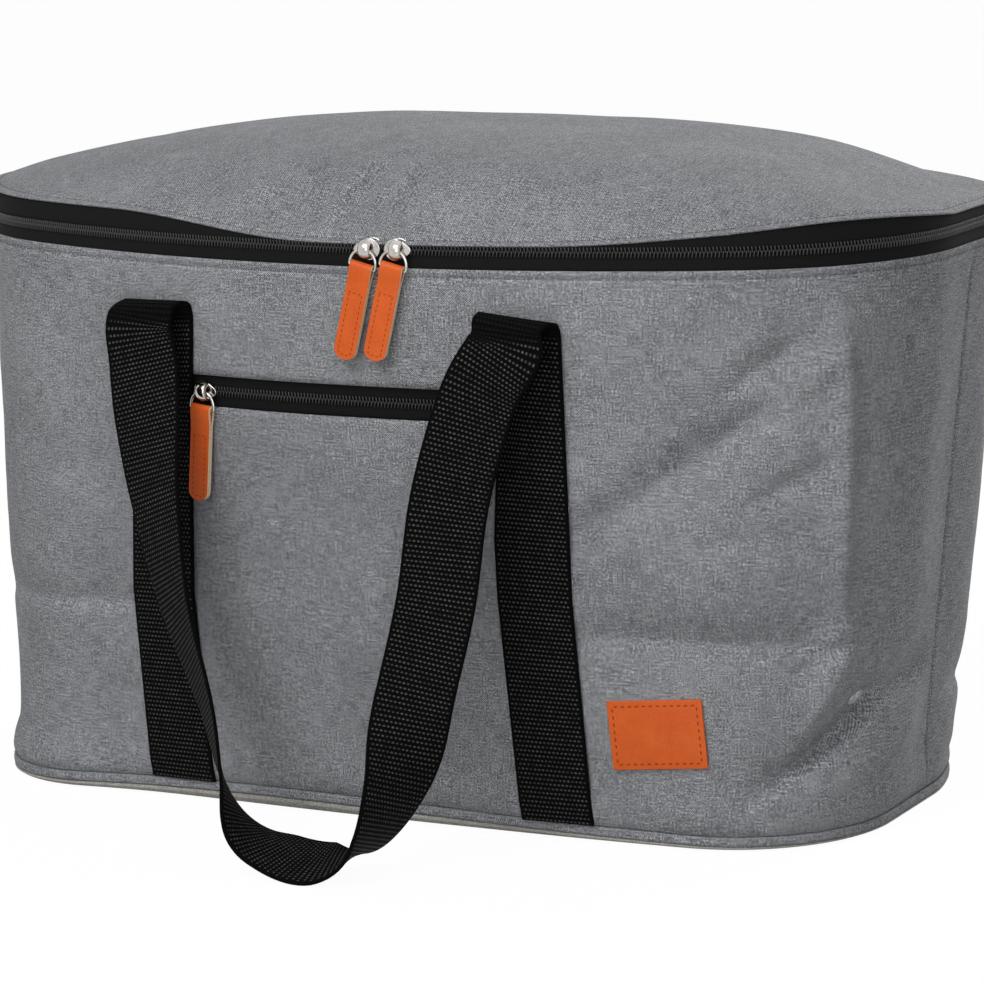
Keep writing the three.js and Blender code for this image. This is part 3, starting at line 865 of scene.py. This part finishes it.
# Lid: padded cloth over a silver lining
LID_FOLDS = [
    ((-13, -143), (-18, -124), -4.2, 5, 5),
    ((-1, -146), (6, -90), -4.6, 5, 6),
    ((20, -148), (15, -122), -4.2, 5, 5),
    ((33, -138), (27, -96), -4.2, 5, 6),
    ((-50, -143), (-46, -124), -3, 5, 5),
    ((-74, -134), (-84, -100), -3, 6, 6),
    ((84, -143), (80, -112), -2.4, 5, 5),
    ((-8, -142), (-4, -100), 2.8, 5, 5),
    ((25, -138), (18, -98), 2.8, 5, 5),
]


def edge_drop(at, out):
    """How far the lid's edge hangs: a lip over the zip, slack at the far corners, nothing at the hinge."""
    lip = 1 + 10.4 * ease(at.x, -135, -5) * (1 - ease(at.x, 105, 285))
    right, left = 8 * ease(at.x, 60, 235), 3 * ease(-at.x, 150, 260)
    slack = right * ease(out.y, -0.75, 0.35) + left * ease(out.y, -0.3, 0.6)
    return lip * max(0.0, -out.y) ** 2 + slack * ease(abs(out.x), 0, 0.3)


def lid_surface(u, share):
    """A point of the lid's dome, and the way outwards at its edge."""
    at, out = stand("ring", u, TOP)
    drop = edge_drop(at, out) * ease(share, LID_SLACK_FROM, 1.0)
    z = LID_RIM + LID_RISE * (1 - share ** 2.7) - drop
    at = Vector((at.x * share, at.y * share, z))
    slack = 1 - ease(share, 0.88, 0.98)
    at.z += slack * (1.6 * ripple(at.x, at.y, 120, 21) + 0.7 * ripple(at.x, at.y, 48, 23))
    at.z -= 4 * ease(at.x, 40, 230) * slack * ease(share, 0.1, 0.6) * ease(at.y, -110, 60)
    at.z += (1 - ease(share, 0.87, 0.98)) * sum(fold(at.x, at.y, *line) for line in LID_FOLDS)
    at.z -= 0.7 * hump(share, LID_STITCH, 0.005)
    return at, out


# The lid's cloth from under its edge to the middle, and its lining the other way, as shares of the plan
LID_EDGE = 0.06
LID_SPREAD = [(0, 0.985), (LID_EDGE, 1.0), (0.3, 0.93), (0.6, 0.78), (1, 0.0)]
LID_MEASURE = [(0, 1.015), *LID_SPREAD[1:]]
LID_LINING_SPREAD = [(0, 0.0), (0.5, 0.8), (0.9, 0.985), (1, 1.0)]


def build_lid():
    def top(u, v):
        at, out = lid_surface(u, between(v, LID_SPREAD))
        if v < LID_EDGE:
            at.z -= 2.2 * math.sin((1 - v / LID_EDGE) * math.pi / 2)
        return at + out * 0.6 * hump(v, 0.05, 0.05)

    def top_measure(u, v):
        at, _ = stand("ring", u, TOP)
        return (at * between(v, LID_MEASURE)).xy

    dome = laid_grid(LID_GRID, top, top_measure, closed=True)
    cover = piece("lid_cloth", dome, [cloth], "lid", ["lid_panel"])
    thicken(cover, CLOTH)

    rows = bmesh.new()
    line = []
    spots = 500
    for i in range(spots + 1):
        at, out = lid_surface(i / spots, LID_STITCH)
        line.append((at + Vector((0, 0, 0.15)), out + Vector((0, 0, 1.2))))
    stitch_row(rows, line, *EDGE_STITCH)
    piece("lid_edge_stitches", rows, [grey_thread], "lid")

    def under(u, v):
        share = between(v, LID_LINING_SPREAD)
        at, out = stand("ring", u, TOP, -LID_LINING_INSET)
        z = LID_RIM - LID_LINING_INSET + (LID_RISE - 2) * (1 - share ** 3) - LID_PAD * ease(1 - v, 0.0, 0.12)
        z -= edge_drop(at, out) * ease(share, LID_SLACK_FROM, 1.0)
        z -= ease(1 - v, 0.1, 0.3) * abs(1.6 * ripple(at.x * share, at.y * share, 60, 31))
        return Vector((at.x * share, at.y * share, z))

    inner = laid_grid(LID_LINING_GRID, under, lambda u, v: under(u, v).xy, closed=True)
    thicken(piece("lid_lining", inner, [foil], "lid", ["lid_liner", "lid_foam"]), LINING)

    def band(u, v):
        at, out = stand("hinge", u, TOP, HINGE_GAP - HINGE_SAG * math.sin(math.pi * v))
        return Vector((at.x, at.y, lerp(TOP - 1, LID_RIM - HINGE_GAP - edge_drop(at, out), v)))

    size = (run_length("hinge", TOP), LID_RIM - TOP)
    strip = laid_grid(HINGE_GRID, band, lambda u, v: (u * size[0], v * size[1]))
    thicken(piece("hinge_cloth", strip, [cloth], "tub", ["hinge_band"]), CLOTH)


# Zips: tapes, and coils of separate teeth that cross in the middle
def tooth_row(spots, line, side):
    """Teeth at spots, each a point and its way outwards, on one side of a zip line."""
    bm = bmesh.new()
    width, depth, height = TOOTH
    for (at, out), (after, _) in zip(spots, spots[1:]):
        rise = Vector((0, 0, side * (height / 2 - TOOTH_CROSSING)))
        centre = Vector((at.x, at.y, line)) + rise - out * 0.5
        size = Matrix.Diagonal((width * MM, height * MM, depth * MM, 1))
        stance = basis(centre, after - at, out) @ turned(TOOTH_SLANT * side, "Z")
        bmesh.ops.create_cube(bm, size=1, matrix=stance @ size)
    rounded(bm, bm.edges, 0.25 * MM, 1)
    return bm


def zip_half(place, half, body, strip, spots, line, side):
    """One tape with its row of teeth."""
    band = piece(f"{place}_{half}_band", strip, [tape], body, [f"{place}_{half}_tape"])
    thicken(band, TAPE)
    teeth = tooth_row(spots, line, side)
    piece(f"{place}_{half}_teeth", teeth, [nylon], body, [f"{place}_{half}_coil"])


def tooth_shares(length, side):
    """Shares of a zip's length where one half has its teeth, a quarter of a pitch off the middle."""
    count = int(length / TOOTH_PITCH)
    return [(i + 0.25 * side) / count for i in range(1, count)]


def build_main_zip():
    length = run_length("zip", ZIP_LINE)
    for half, body, low, high, side in (
        ("lower", "tub", TOP - 1.2, ZIP_LINE - TAPE_PARTING, -1),
        ("upper", "lid", ZIP_LINE + TAPE_PARTING, LID_RIM - 0.3, 1),
    ):
        def place(u, v):
            at, out = stand("zip", u, ZIP_LINE, TAPE_SET)
            top = high - edge_drop(at, out) if side > 0 else high
            return Vector((at.x, at.y, lerp(low, top, v)))

        strip = laid_grid(TAPE_GRID, place, lambda u, v: (u * length, lerp(low, high, v)))
        spots = [stand("zip", clamp(share), ZIP_LINE, TOOTH_SET) for share in tooth_shares(length, side)]
        zip_half("zip", half, body, strip, spots, ZIP_LINE, side)


def on_front(x, z, out=0.0):
    """A point of the front wall, and the way outwards there."""
    slope = (front_y(x + 1, z) - front_y(x - 1, z)) / 2
    way = Vector((slope, -1, 0)).normalized()
    return Vector((x, front_y(x, z), z)) + way * out, way


def build_pocket():
    reach = STRAP_SPREAD - WEBBING / 2

    def across(u):
        return lerp(-POCKET_HALF, POCKET_HALF, u)

    for half, edge, side in (
        ("lower", POCKET_LOW - POCKET_TUCK, -1),
        ("upper", POCKET_HIGH + POCKET_TUCK, 1),
    ):
        low, high = sorted((edge, POCKET_LINE + side * TAPE_PARTING))

        def place(u, v):
            return on_front(across(u), lerp(low, high, v), POCKET_TAPE_SET)[0]

        strip = laid_grid(POCKET_TAPE_GRID, place, lambda u, v: (u * 2 * POCKET_HALF, lerp(low, high, v)))
        shares = tooth_shares(2 * reach, side)
        spots = [on_front(lerp(-reach, reach, share), POCKET_LINE, POCKET_TOOTH_SET) for share in shares]
        zip_half("pocket", half, "tub", strip, spots, POCKET_LINE, side)

    def pouch(u, v):
        z = lerp(POCKET_LOW - POUCH_DEPTH, POCKET_HIGH + 8, v)
        return on_front(across(u), z, -2.4 - 3.6 * hump(z, POCKET_LINE, 9))[0]

    bag = laid_grid(POUCH_GRID, pouch, lambda u, v: (u * POUCH_SIZE[0], v * POUCH_SIZE[1]))
    lined = piece("pocket_lining", bag, [lining_cloth], "tub", ["pocket_pouch"])
    thicken(lined, POUCH_CLOTH)


# Sliders, rings and leather pulls, each in a frame on its zip line: X along the zip, -Y outwards
def shield(bm, front, thickness, neck_side):
    """A slider plate: round where the zip is open, narrow where it is closed."""
    length, height = SLIDER
    made = bmesh.ops.create_circle(bm, cap_ends=True, segments=32, radius=1)
    bmesh.ops.transform(bm, matrix=turned(90, "X"), verts=made["verts"])
    for vert in made["verts"]:
        toward = vert.co.x * neck_side
        vert.co.z *= height / 2 * lerp(0.62, 1.0, ease(toward, -1.0, 0.3))
        vert.co.x *= length / 2
        vert.co.y = front
    faces = list({face for vert in made["verts"] for face in vert.link_faces})
    grown = bmesh.ops.extrude_face_region(bm, geom=faces)
    moved = [e for e in grown["geom"] if isinstance(e, bmesh.types.BMVert)]
    bmesh.ops.translate(bm, vec=(0, thickness, 0), verts=moved)


def slider_body(neck_side):
    """Two plates on a neck, with a bridge over the front one, in millimetres."""
    bm = bmesh.new()
    shield(bm, SLIDER_FRONT, SLIDER_PLATE, neck_side)
    shield(bm, SLIDER_BACK, SLIDER_PLATE, neck_side)
    neck = Matrix.Translation((NECK_AT[0] * neck_side, NECK_AT[1], 0)) @ Matrix.Diagonal((*NECK, 1))
    bmesh.ops.create_cube(bm, size=1, matrix=neck)
    bmesh.ops.recalc_face_normals(bm, faces=bm.faces)
    rounded(bm, [e for e in bm.edges if e.is_manifold and e.calc_face_angle() > 0.6], 0.35, 3)
    width, reach, rise = CROWN
    ends = bmesh.ops.create_grid(bm, x_segments=6, y_segments=1, size=0.5)["verts"]
    for vert in ends:
        x, edge = vert.co.x * width, vert.co.y + 0.5
        belly = 0.55 * math.cos(math.pi * vert.co.x) * edge
        vert.co = (x, CROWN_FOOT, rise - CROWN_BAR * (1 - edge) + belly)
    edges = dict.fromkeys(edge for vert in ends for edge in vert.link_edges)
    faces = dict.fromkeys(face for vert in ends for face in vert.link_faces)
    bmesh.ops.spin(
        bm, geom=[*ends, *edges, *faces], cent=(0, CROWN_FOOT, 0), axis=(1, 0, 0), angle=math.pi, steps=14)
    for vert in bm.verts:
        if vert.co.y < CROWN_FOOT - 0.001:
            vert.co.y = CROWN_FOOT + (vert.co.y - CROWN_FOOT) * reach / rise
    bmesh.ops.recalc_face_normals(bm, faces=bm.faces)
    return bm


def wire_ring(points, radius):
    """A closed wire through points, as a mesh."""
    curve = bpy.data.curves.new("wire", "CURVE")
    curve.dimensions = "3D"
    curve.bevel_depth = radius * MM
    curve.bevel_resolution = 4
    line = curve.splines.new("POLY")
    line.points.add(len(points) - 1)
    for point, at in zip(line.points, points):
        point.co = (*(at * MM), 1)
    line.use_cyclic_u = True
    holder = bpy.data.objects.new("wire", curve)
    mesh = bpy.data.meshes.new_from_object(holder)
    bm = bmesh.new()
    bm.from_mesh(mesh)
    bpy.data.objects.remove(holder)
    bpy.data.curves.remove(curve)
    bpy.data.meshes.remove(mesh)
    return bm


def ring_path():
    drop = RING_RADIUS + RING_SIDE
    side = RING_RADIUS - RING_CORNER

    def bend(x, z, radius, start, stop, steps):
        turns = [math.radians(lerp(start, stop, i / steps)) for i in range(steps + 1)]
        return [Vector((x + radius * math.cos(t), 0, z + radius * math.sin(t))) for t in turns]

    low = RING_CORNER - drop
    return [
        *bend(0, -RING_RADIUS, RING_RADIUS, 0, 180, 28),
        *bend(-side, low, RING_CORNER, 180, 270, 5),
        *bend(side, low, RING_CORNER, 270, 360, 5),
    ]


def tab_half_width(depth):
    """Half the width of the pull at a height above its round end."""
    if depth >= TAB_ROUND:
        return TAB[0] / 2
    share = 1 - depth / TAB_ROUND
    return TAB[0] / 2 - TAB_ROUND * (1 - math.sqrt(max(0.0, 1 - share ** 2)))


def tab_line():
    """Side view of the folded strip: up the front ply, round the ring's bar, down the back ply."""
    ply = LEATHER / 2 + 0.03
    eye = WIRE + 0.25 + LEATHER / 2
    end_steps, steps, loop_steps = 10, 24, 16
    depths = [TAB_ROUND * (1 - math.cos(math.pi / 2 * i / end_steps)) for i in range(end_steps + 1)]
    depths += [lerp(TAB_ROUND, TAB[1], i / steps) for i in range(1, steps + 1)]
    up = [(-lerp(ply, eye, ease(d, TAB[1] - 9, TAB[1])), d - TAB[1], d) for d in depths]
    loop = []
    for i in range(1, loop_steps):
        angle = lerp(math.pi, 0, i / loop_steps)
        loop.append((eye * math.cos(angle), eye * math.sin(angle), TAB[1]))
    down = [(-y, z, d) for y, z, d in reversed(up)]
    return up + loop + down


def leather_pull():
    line = tab_line()

    def place(u, v):
        y, z, depth = line[round(v * (len(line) - 1))]
        return Vector(((u - 0.5) * 2 * tab_half_width(depth), y, z))

    return laid_grid((10, len(line) - 1), place, lambda u, v: (u * TAB[0], v * 2 * TAB[1]))


def pull_stitches():
    """A row of stitches round each face of the pull, inside its outline."""
    bm = bmesh.new()
    top, steps = TAB[1] - TAB_STITCH_TOP, 30
    depths = [lerp(top, TAB_STITCH_INSET, i / steps) for i in range(steps + 1)]

    def reach(depth):
        return max(0.0, tab_half_width(depth) - TAB_STITCH_INSET * (1 if depth > TAB_ROUND else 0.9))

    outline = [(-reach(d), d) for d in depths] + [(reach(d), d) for d in reversed(depths)]
    outline.append(outline[0])
    for face in (-1, 1):
        y = face * (LEATHER + 0.02)
        line = [(Vector((x, y, d - TAB[1])), Vector((0, face, 0))) for x, d in outline]
        stitch_row(bm, line, *TAB_STITCH)
    return bm


def front_seat(x, z):
    """A frame on the front wall: X along it, -Y outwards."""
    return moved((x, front_y(x, z), z)) @ Matrix.Rotation(math.asin(x / bow_at(z)), 4, "Z")


def build_pulls():
    for name, (x, z, lean, neck_side) in PULLS.items():
        seat = front_seat(x, z)
        pull = seat @ moved(PULL_SEAT) @ turned(lean, "Y")
        hang = pull @ moved((0, 0, -RING_RADIUS - RING_SIDE))
        body = set_down(slider_body(neck_side), seat @ IN_METRES)
        piece(f"{name}_slider_metal", body, [nickel], f"{name}_slider_body", [f"{name}_slider"])
        ring = set_down(wire_ring(ring_path(), WIRE), pull)
        piece(f"{name}_ring_wire", ring, [nickel], f"{name}_ring_body", [f"{name}_pull_ring"])
        rider = f"{name}_tab_body"
        strip = set_down(leather_pull(), hang)
        skins = [leather, leather_edge]
        tab = piece(f"{name}_leather_pull", strip, skins, rider, [f"{name}_pull_tab"])
        thicken(tab, LEATHER, 0.0, rim=1, edge=LEATHER_EDGE)
        rows = set_down(pull_stitches(), hang)
        piece(f"{name}_pull_stitches", rows, [leather_thread], rider)


# Handles: legs sewn up the wall to the crest of their fold, and loops that hang from there
# Each stop of a loop: across, out and up as shares, then the direction of its width
BACK_HALF = [
    (-1, 0, 1, 1, 0, 0), (-1, 0.05, 0.93, 1, 0, 0), (-0.95, 0.25, 0.75, 0.95, 0.3, 0),
    (-0.84, 0.5, 0.5, 0.8, 0.6, 0.05), (-0.6, 0.75, 0.23, 0.5, 0.85, 0.1), (-0.3, 0.93, 0.05, 0.2, 0.97, 0.1),
]
LOOPS = {
    "front": [
        (-1.016, 0, 1, 1, 0, 0), (-0.98, 0.04, 0.93, 1, 0, 0), (-0.9, 0.2, 0.82, 0.99, 0.1, 0.07),
        (-0.81, 0.35, 0.67, 0.92, 0.36, 0.12), (-0.66, 0.51, 0.47, 0.79, 0.58, 0.18),
        (-0.44, 0.68, 0.28, 0.64, 0.74, 0.22), (-0.32, 0.79, 0.14, 0.51, 0.83, 0.22),
        (-0.17, 0.89, 0.05, 0.33, 0.94, -0.06), (0.04, 0.97, 0.01, 0.32, 0.92, -0.24),
        (0.29, 1, 0, 0.38, 0.9, -0.22), (0.48, 0.9, 0.04, 0.1, 0.95, 0.28),
        (0.6, 0.79, 0.16, -0.45, 0.88, 0.16), (0.65, 0.65, 0.32, -0.93, 0.36, 0),
        (0.71, 0.47, 0.51, -0.92, 0.38, 0), (0.735, 0.3, 0.71, -0.92, 0.38, 0),
        (0.815, 0.1, 0.9, -0.95, 0.25, 0.05), (0.925, 0, 1, -0.98, 0.1, 0.17),
    ],
    "back": [
        *BACK_HALF, (0, 1, 0, 0, 1, 0),
        *((-x, out, up, -wx, wy, wz) for x, out, up, wx, wy, wz in reversed(BACK_HALF)),
    ],
}


def through(points):
    """A smooth line through points, as a function of a running count along them."""
    ends = [2 * points[0] - points[1], *points, 2 * points[-1] - points[-2]]

    def at(t):
        i = min(int(t), len(points) - 2)
        f = t - i
        a, b, c, d = ends[i:i + 4]
        slope = (c - a) * f
        curve = (2 * a - 5 * b + 4 * c - d) * f ** 2
        return (2 * b + slope + curve + (3 * b - a - 3 * c + d) * f ** 3) / 2

    return at


LEG_LEANS = {
    "front": {-1: [(8, -4), (110, -8), (190, -2), (250, 4)], 1: [(8, -0.5), (120, -6), (250, -5.5)]},
    "back": {-1: [(8, 1), (130, 3), (250, 0)], 1: [(8, 0), (130, -2), (250, 1)]},
}
PULL_ROOM = [(0, 0), (150, 0), (165, 1.3), (185, 3.1), (201, 5), (222, 5), (240, 0)]
CREST_TILT = {"front": {-1: 0.02, 1: -0.12}, "back": {-1: 0.03, 1: -0.03}}


class Side:
    """One side's handle: its wall, the way out, and the middle plane of its folds."""

    def __init__(self, place, surface, outwards):
        self.place = place
        self.surface = surface
        self.outwards = outwards
        self.face = surface(STRAP_SPREAD, FOLD_END) + outwards * (FOLD_DEPTH - WEBBING_CLOTH / 2)

    def lean(self, end, z):
        return between(z, LEG_LEANS[self.place][end])

    def pull_room(self, end, across, z):
        """The right front leg gives way at its inner edge, where the pocket's pull comes to rest."""
        if (self.place, end) != ("front", 1):
            return 0.0
        return between(z, PULL_ROOM) * clamp(-across / (WEBBING / 2))

    def over(self, end, across, angle, shift=0.0):
        """A point of a fold: 180 degrees at the wall, 90 at the crest, 0 at the hanging face."""
        turn = math.radians(angle)
        x = end * STRAP_SPREAD + across + lerp(shift, self.lean(end, FOLD_TOP), clamp(angle / 90))
        root = self.surface(x, FOLD_TOP) + self.outwards * LEG_STAND_OFF
        middle, radius = (self.face + root) / 2, abs(self.face - root) / 2
        tilt = CREST_TILT[self.place][end] * across * ease(180 - angle, 0, 90)
        y = middle + self.outwards * radius * math.cos(turn)
        return Vector((x, y, FOLD_TOP - WEBBING_CLOTH / 2 - radius + radius * math.sin(turn) + tilt))

    def leg(self, end, across, v):
        """A point of the sewn leg, from the base seam to the crest."""
        if v > LEG_TURN:
            return self.over(end, across, lerp(180, LEG_CREST, (v - LEG_TURN) / (1 - LEG_TURN)))
        start = self.over(end, across, 180)
        z = lerp(WALL_FOOT + 0.4 + seam_lift(end * STRAP_SPREAD), start.z, v / LEG_TURN)
        x = end * STRAP_SPREAD + across + self.lean(end, z) + self.pull_room(end, across, z)
        out = LEG_STAND_OFF - 1.2 * (1 - ease(v, 0, 0.04))
        return Vector((x, self.surface(x, z) + self.outwards * out, z))


def build_legs(side):
    for name, end in (("left", -1), ("right", 1)):
        def place(u, v):
            return side.leg(end, -side.outwards * (u - 0.5) * WEBBING, v)

        strip = laid_grid(LEG_GRID, place, lambda u, v: (u * WEBBING, v * LEG_LENGTH))
        label = f"{side.place}_{name}"
        sewn = piece(f"{label}_strap_leg", strip, [webbing], "tub", [f"{label}_leg"])
        thicken(sewn, WEBBING_CLOTH, 0.0, edge=WEBBING_EDGE)


def loop_line(side):
    """Points down the middle of a loop from crest to crest, and the direction of its width at each."""
    stops = LOOPS[side.place]
    centres, widths = [], []
    for x, out, up, wx, wy, wz in stops:
        y = side.face + side.outwards * out * LOOP_REACH
        centres.append(Vector((x * STRAP_SPREAD, y, lerp(LOOP_REST, LOOP_TOP, up))))
        widths.append(Vector((wx, side.outwards * wy, wz)))
    for end, stop in ((-1, stops[0]), (1, stops[-1])):
        shift = (abs(stop[0]) - 1) * end * STRAP_SPREAD
        crest, spans = [], []
        for angle in (LEG_CREST, 60, 30):
            crest.append(side.over(end, 0, angle, shift))
            span = (side.over(end, 1, angle, shift) - side.over(end, -1, angle, shift)) * -end
            spans.append(span.normalized())
        if end < 0:
            centres, widths = crest + centres, spans + widths
        else:
            centres, widths = centres + crest[::-1], widths + spans[::-1]
    return centres, widths


def build_loop(side):
    centres, widths = loop_line(side)
    middle, across, last = through(centres), through(widths), len(centres) - 1
    stops = [i * last / LOOP_SAMPLES for i in range(LOOP_SAMPLES + 1)]
    lengths = [0.0]
    for a, b in zip(stops, stops[1:]):
        lengths.append(lengths[-1] + (middle(b) - middle(a)).length)
    total = lengths[-1]
    pace = [(length / total, stop) for length, stop in zip(lengths, stops)]

    def place(u, v):
        t = between(v, pace)
        along = (middle(min(t + 0.02, last)) - middle(max(t - 0.02, 0))).normalized()
        width = across(t)
        square = (width - along * width.dot(along)).normalized()
        held = 1 - ease(min(v, 1 - v) * total, *LOOP_HELD)
        width = square.lerp(width.normalized(), held) * (1 - LOOP_PINCH * held)
        return middle(t) + width * (u - 0.5) * WEBBING * -side.outwards

    strip = laid_grid(LOOP_GRID, place, lambda u, v: (u * WEBBING, v * total))
    label = side.place
    hanging = piece(f"{label}_strap_loop", strip, [webbing], None, [f"{label}_handle_loop"])
    thicken(hanging, WEBBING_CLOTH, 0.0, edge=WEBBING_EDGE)
    bend = (0, side.face * MM)
    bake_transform(hanging)


# Bare leather patch with its stitching
def build_patch():
    x, z = PATCH_AT
    width, height = PATCH
    lean = math.atan2(front_y(x, z - height / 2) - front_y(x, z + height / 2), height)
    seat = front_seat(x, z) @ Matrix.Rotation(lean, 4, "X") @ turned(-PATCH_TURN, "Y")
    bm = bmesh.new()
    size = Matrix.Diagonal((width, LEATHER, height, 1))
    bmesh.ops.create_cube(bm, size=1, matrix=Matrix.Translation((0, -PATCH_SEAT - LEATHER / 2, 0)) @ size)
    rounded(bm, [e for e in bm.edges if abs((e.verts[0].co - e.verts[1].co).y) > 0.5], PATCH_CORNER, 5)
    rounded(bm, [e for e in bm.edges if e.calc_face_angle() > 1.0], 0.4, 3)
    set_down(bm, seat @ IN_METRES)
    piece("leather_patch", bm, [leather], "tub", ["front_patch"])

    rows = bmesh.new()
    pitch, *stitch = PATCH_STITCH
    a, b = width / 2 - PATCH_STITCH_INSET, height / 2 - PATCH_STITCH_INSET
    front, out = -PATCH_SEAT - LEATHER - 0.02, Vector((0, -1, 0))
    turns = [Vector((x, front, z)) for x, z in ((-a, -b), (a, -b), (a, b), (-a, b), (-a, -b))]
    for start, stop in zip(turns, turns[1:]):
        length = (stop - start).length
        stitch_row(rows, [(start, out), (stop, out)], length / round(length / pitch), *stitch)
    set_down(rows, seat)
    piece("patch_stitches", rows, [leather_thread], "tub")


# Camera at the photograph's viewing angle, for a square image
IMAGE = 984
AZIMUTH, ELEVATION, ROLL = 27.58, 10.49, -1.54
DISTANCE = 2274
FOCAL = 4407
CENTRE = (482.53, 478.14)
AIM = (0, 0, 150)
SENSOR = 36


def build_camera():
    azimuth, elevation, roll = (math.radians(a) for a in (AZIMUTH, ELEVATION, ROLL))
    away = Vector((math.sin(azimuth) * math.cos(elevation), -math.cos(azimuth) * math.cos(elevation),
                   math.sin(elevation)))
    level = Vector((math.cos(azimuth), math.sin(azimuth), 0))
    rise = away.cross(level)
    right = math.cos(roll) * level + math.sin(roll) * rise
    up = math.cos(roll) * rise - math.sin(roll) * level
    lens = bpy.data.cameras.new("camera")
    lens.sensor_width = SENSOR
    lens.lens = FOCAL * SENSOR / IMAGE
    lens.shift_x = (IMAGE / 2 - CENTRE[0]) / IMAGE
    lens.shift_y = (CENTRE[1] - IMAGE / 2) / IMAGE
    lens.clip_end = 60
    camera = bpy.data.objects.new("camera", lens)
    turn = Matrix((right, up, away)).transposed().to_4x4()
    camera.matrix_world = moved(Vector(AIM) + away * DISTANCE) @ turn
    bpy.context.scene.collection.objects.link(camera)
    bpy.context.scene.camera = camera


# Studio: a white surround, a pale floor that keeps the shadow, and three soft lamps
SKY_LIGHT = 0.2
FLOOR_SIZE = 20
FLOOR_GREY = (0.5, 0.5, 0.5, 1)
FLOOR_GLOW = 1.07
GLOW_SHARE = 0.9
LAMPS = {
    "key": ((-80, -1200, 1400), 800, 13.5),
    "rear": ((620, 1850, 950), 900, 23),
    "front_fill": ((650, -1800, 500), 1200, 10),
}


def build_surround():
    world = bpy.data.worlds.new("studio")
    world.use_nodes = True
    bpy.context.scene.world = world
    nodes = Nodes(world.node_tree)
    sky = nodes.tree.nodes["Background"]
    sky.inputs["Color"].default_value = (1, 1, 1, 1)
    light = {"Value": nodes.seen(), "To Min": SKY_LIGHT, "To Max": 1.0}
    nodes.link(nodes.make("ShaderNodeMapRange", {}, light), sky.inputs["Strength"])


def build_floor():
    pale = Finish("pale_floor", Base_Color=FLOOR_GREY, Roughness=0.9)
    lit = Value(pale, pale.shader.outputs[0])
    glow = pale.make("ShaderNodeEmission", {}, {"Strength": FLOOR_GLOW})
    mixed = pale.make("ShaderNodeMixShader", {}, {0: pale.seen() * GLOW_SHARE, 1: lit, 2: glow})
    pale.link(mixed, pale.tree.nodes["Material Output"].inputs["Surface"])
    bm = bmesh.new()
    bmesh.ops.create_grid(bm, x_segments=1, y_segments=1, size=FLOOR_SIZE)
    piece("floor", bm, [pale.material])


def build_lamps():
    for name, (at, size, power) in LAMPS.items():
        lamp = bpy.data.lights.new(name, "AREA")
        lamp.size = size * MM
        lamp.energy = power
        shine = bpy.data.objects.new(name, lamp)
        shine.location = Vector(at) * MM
        shine.rotation_euler = (Vector(AIM) - Vector(at)).to_track_quat("-Z", "Y").to_euler()
        bpy.context.scene.collection.objects.link(shine)


bpy.context.scene.view_settings.view_transform = "Standard"
build_camera()
build_surround()
build_floor()
build_lamps()
build_walls()
build_welt()
build_base()
build_tub_lining()
build_lid()
build_main_zip()
build_pocket()
build_pulls()
for side in (Side("front", front_y, -1), Side("back", back_y, 1)):
    build_legs(side)
    build_loop(side)
build_patch()
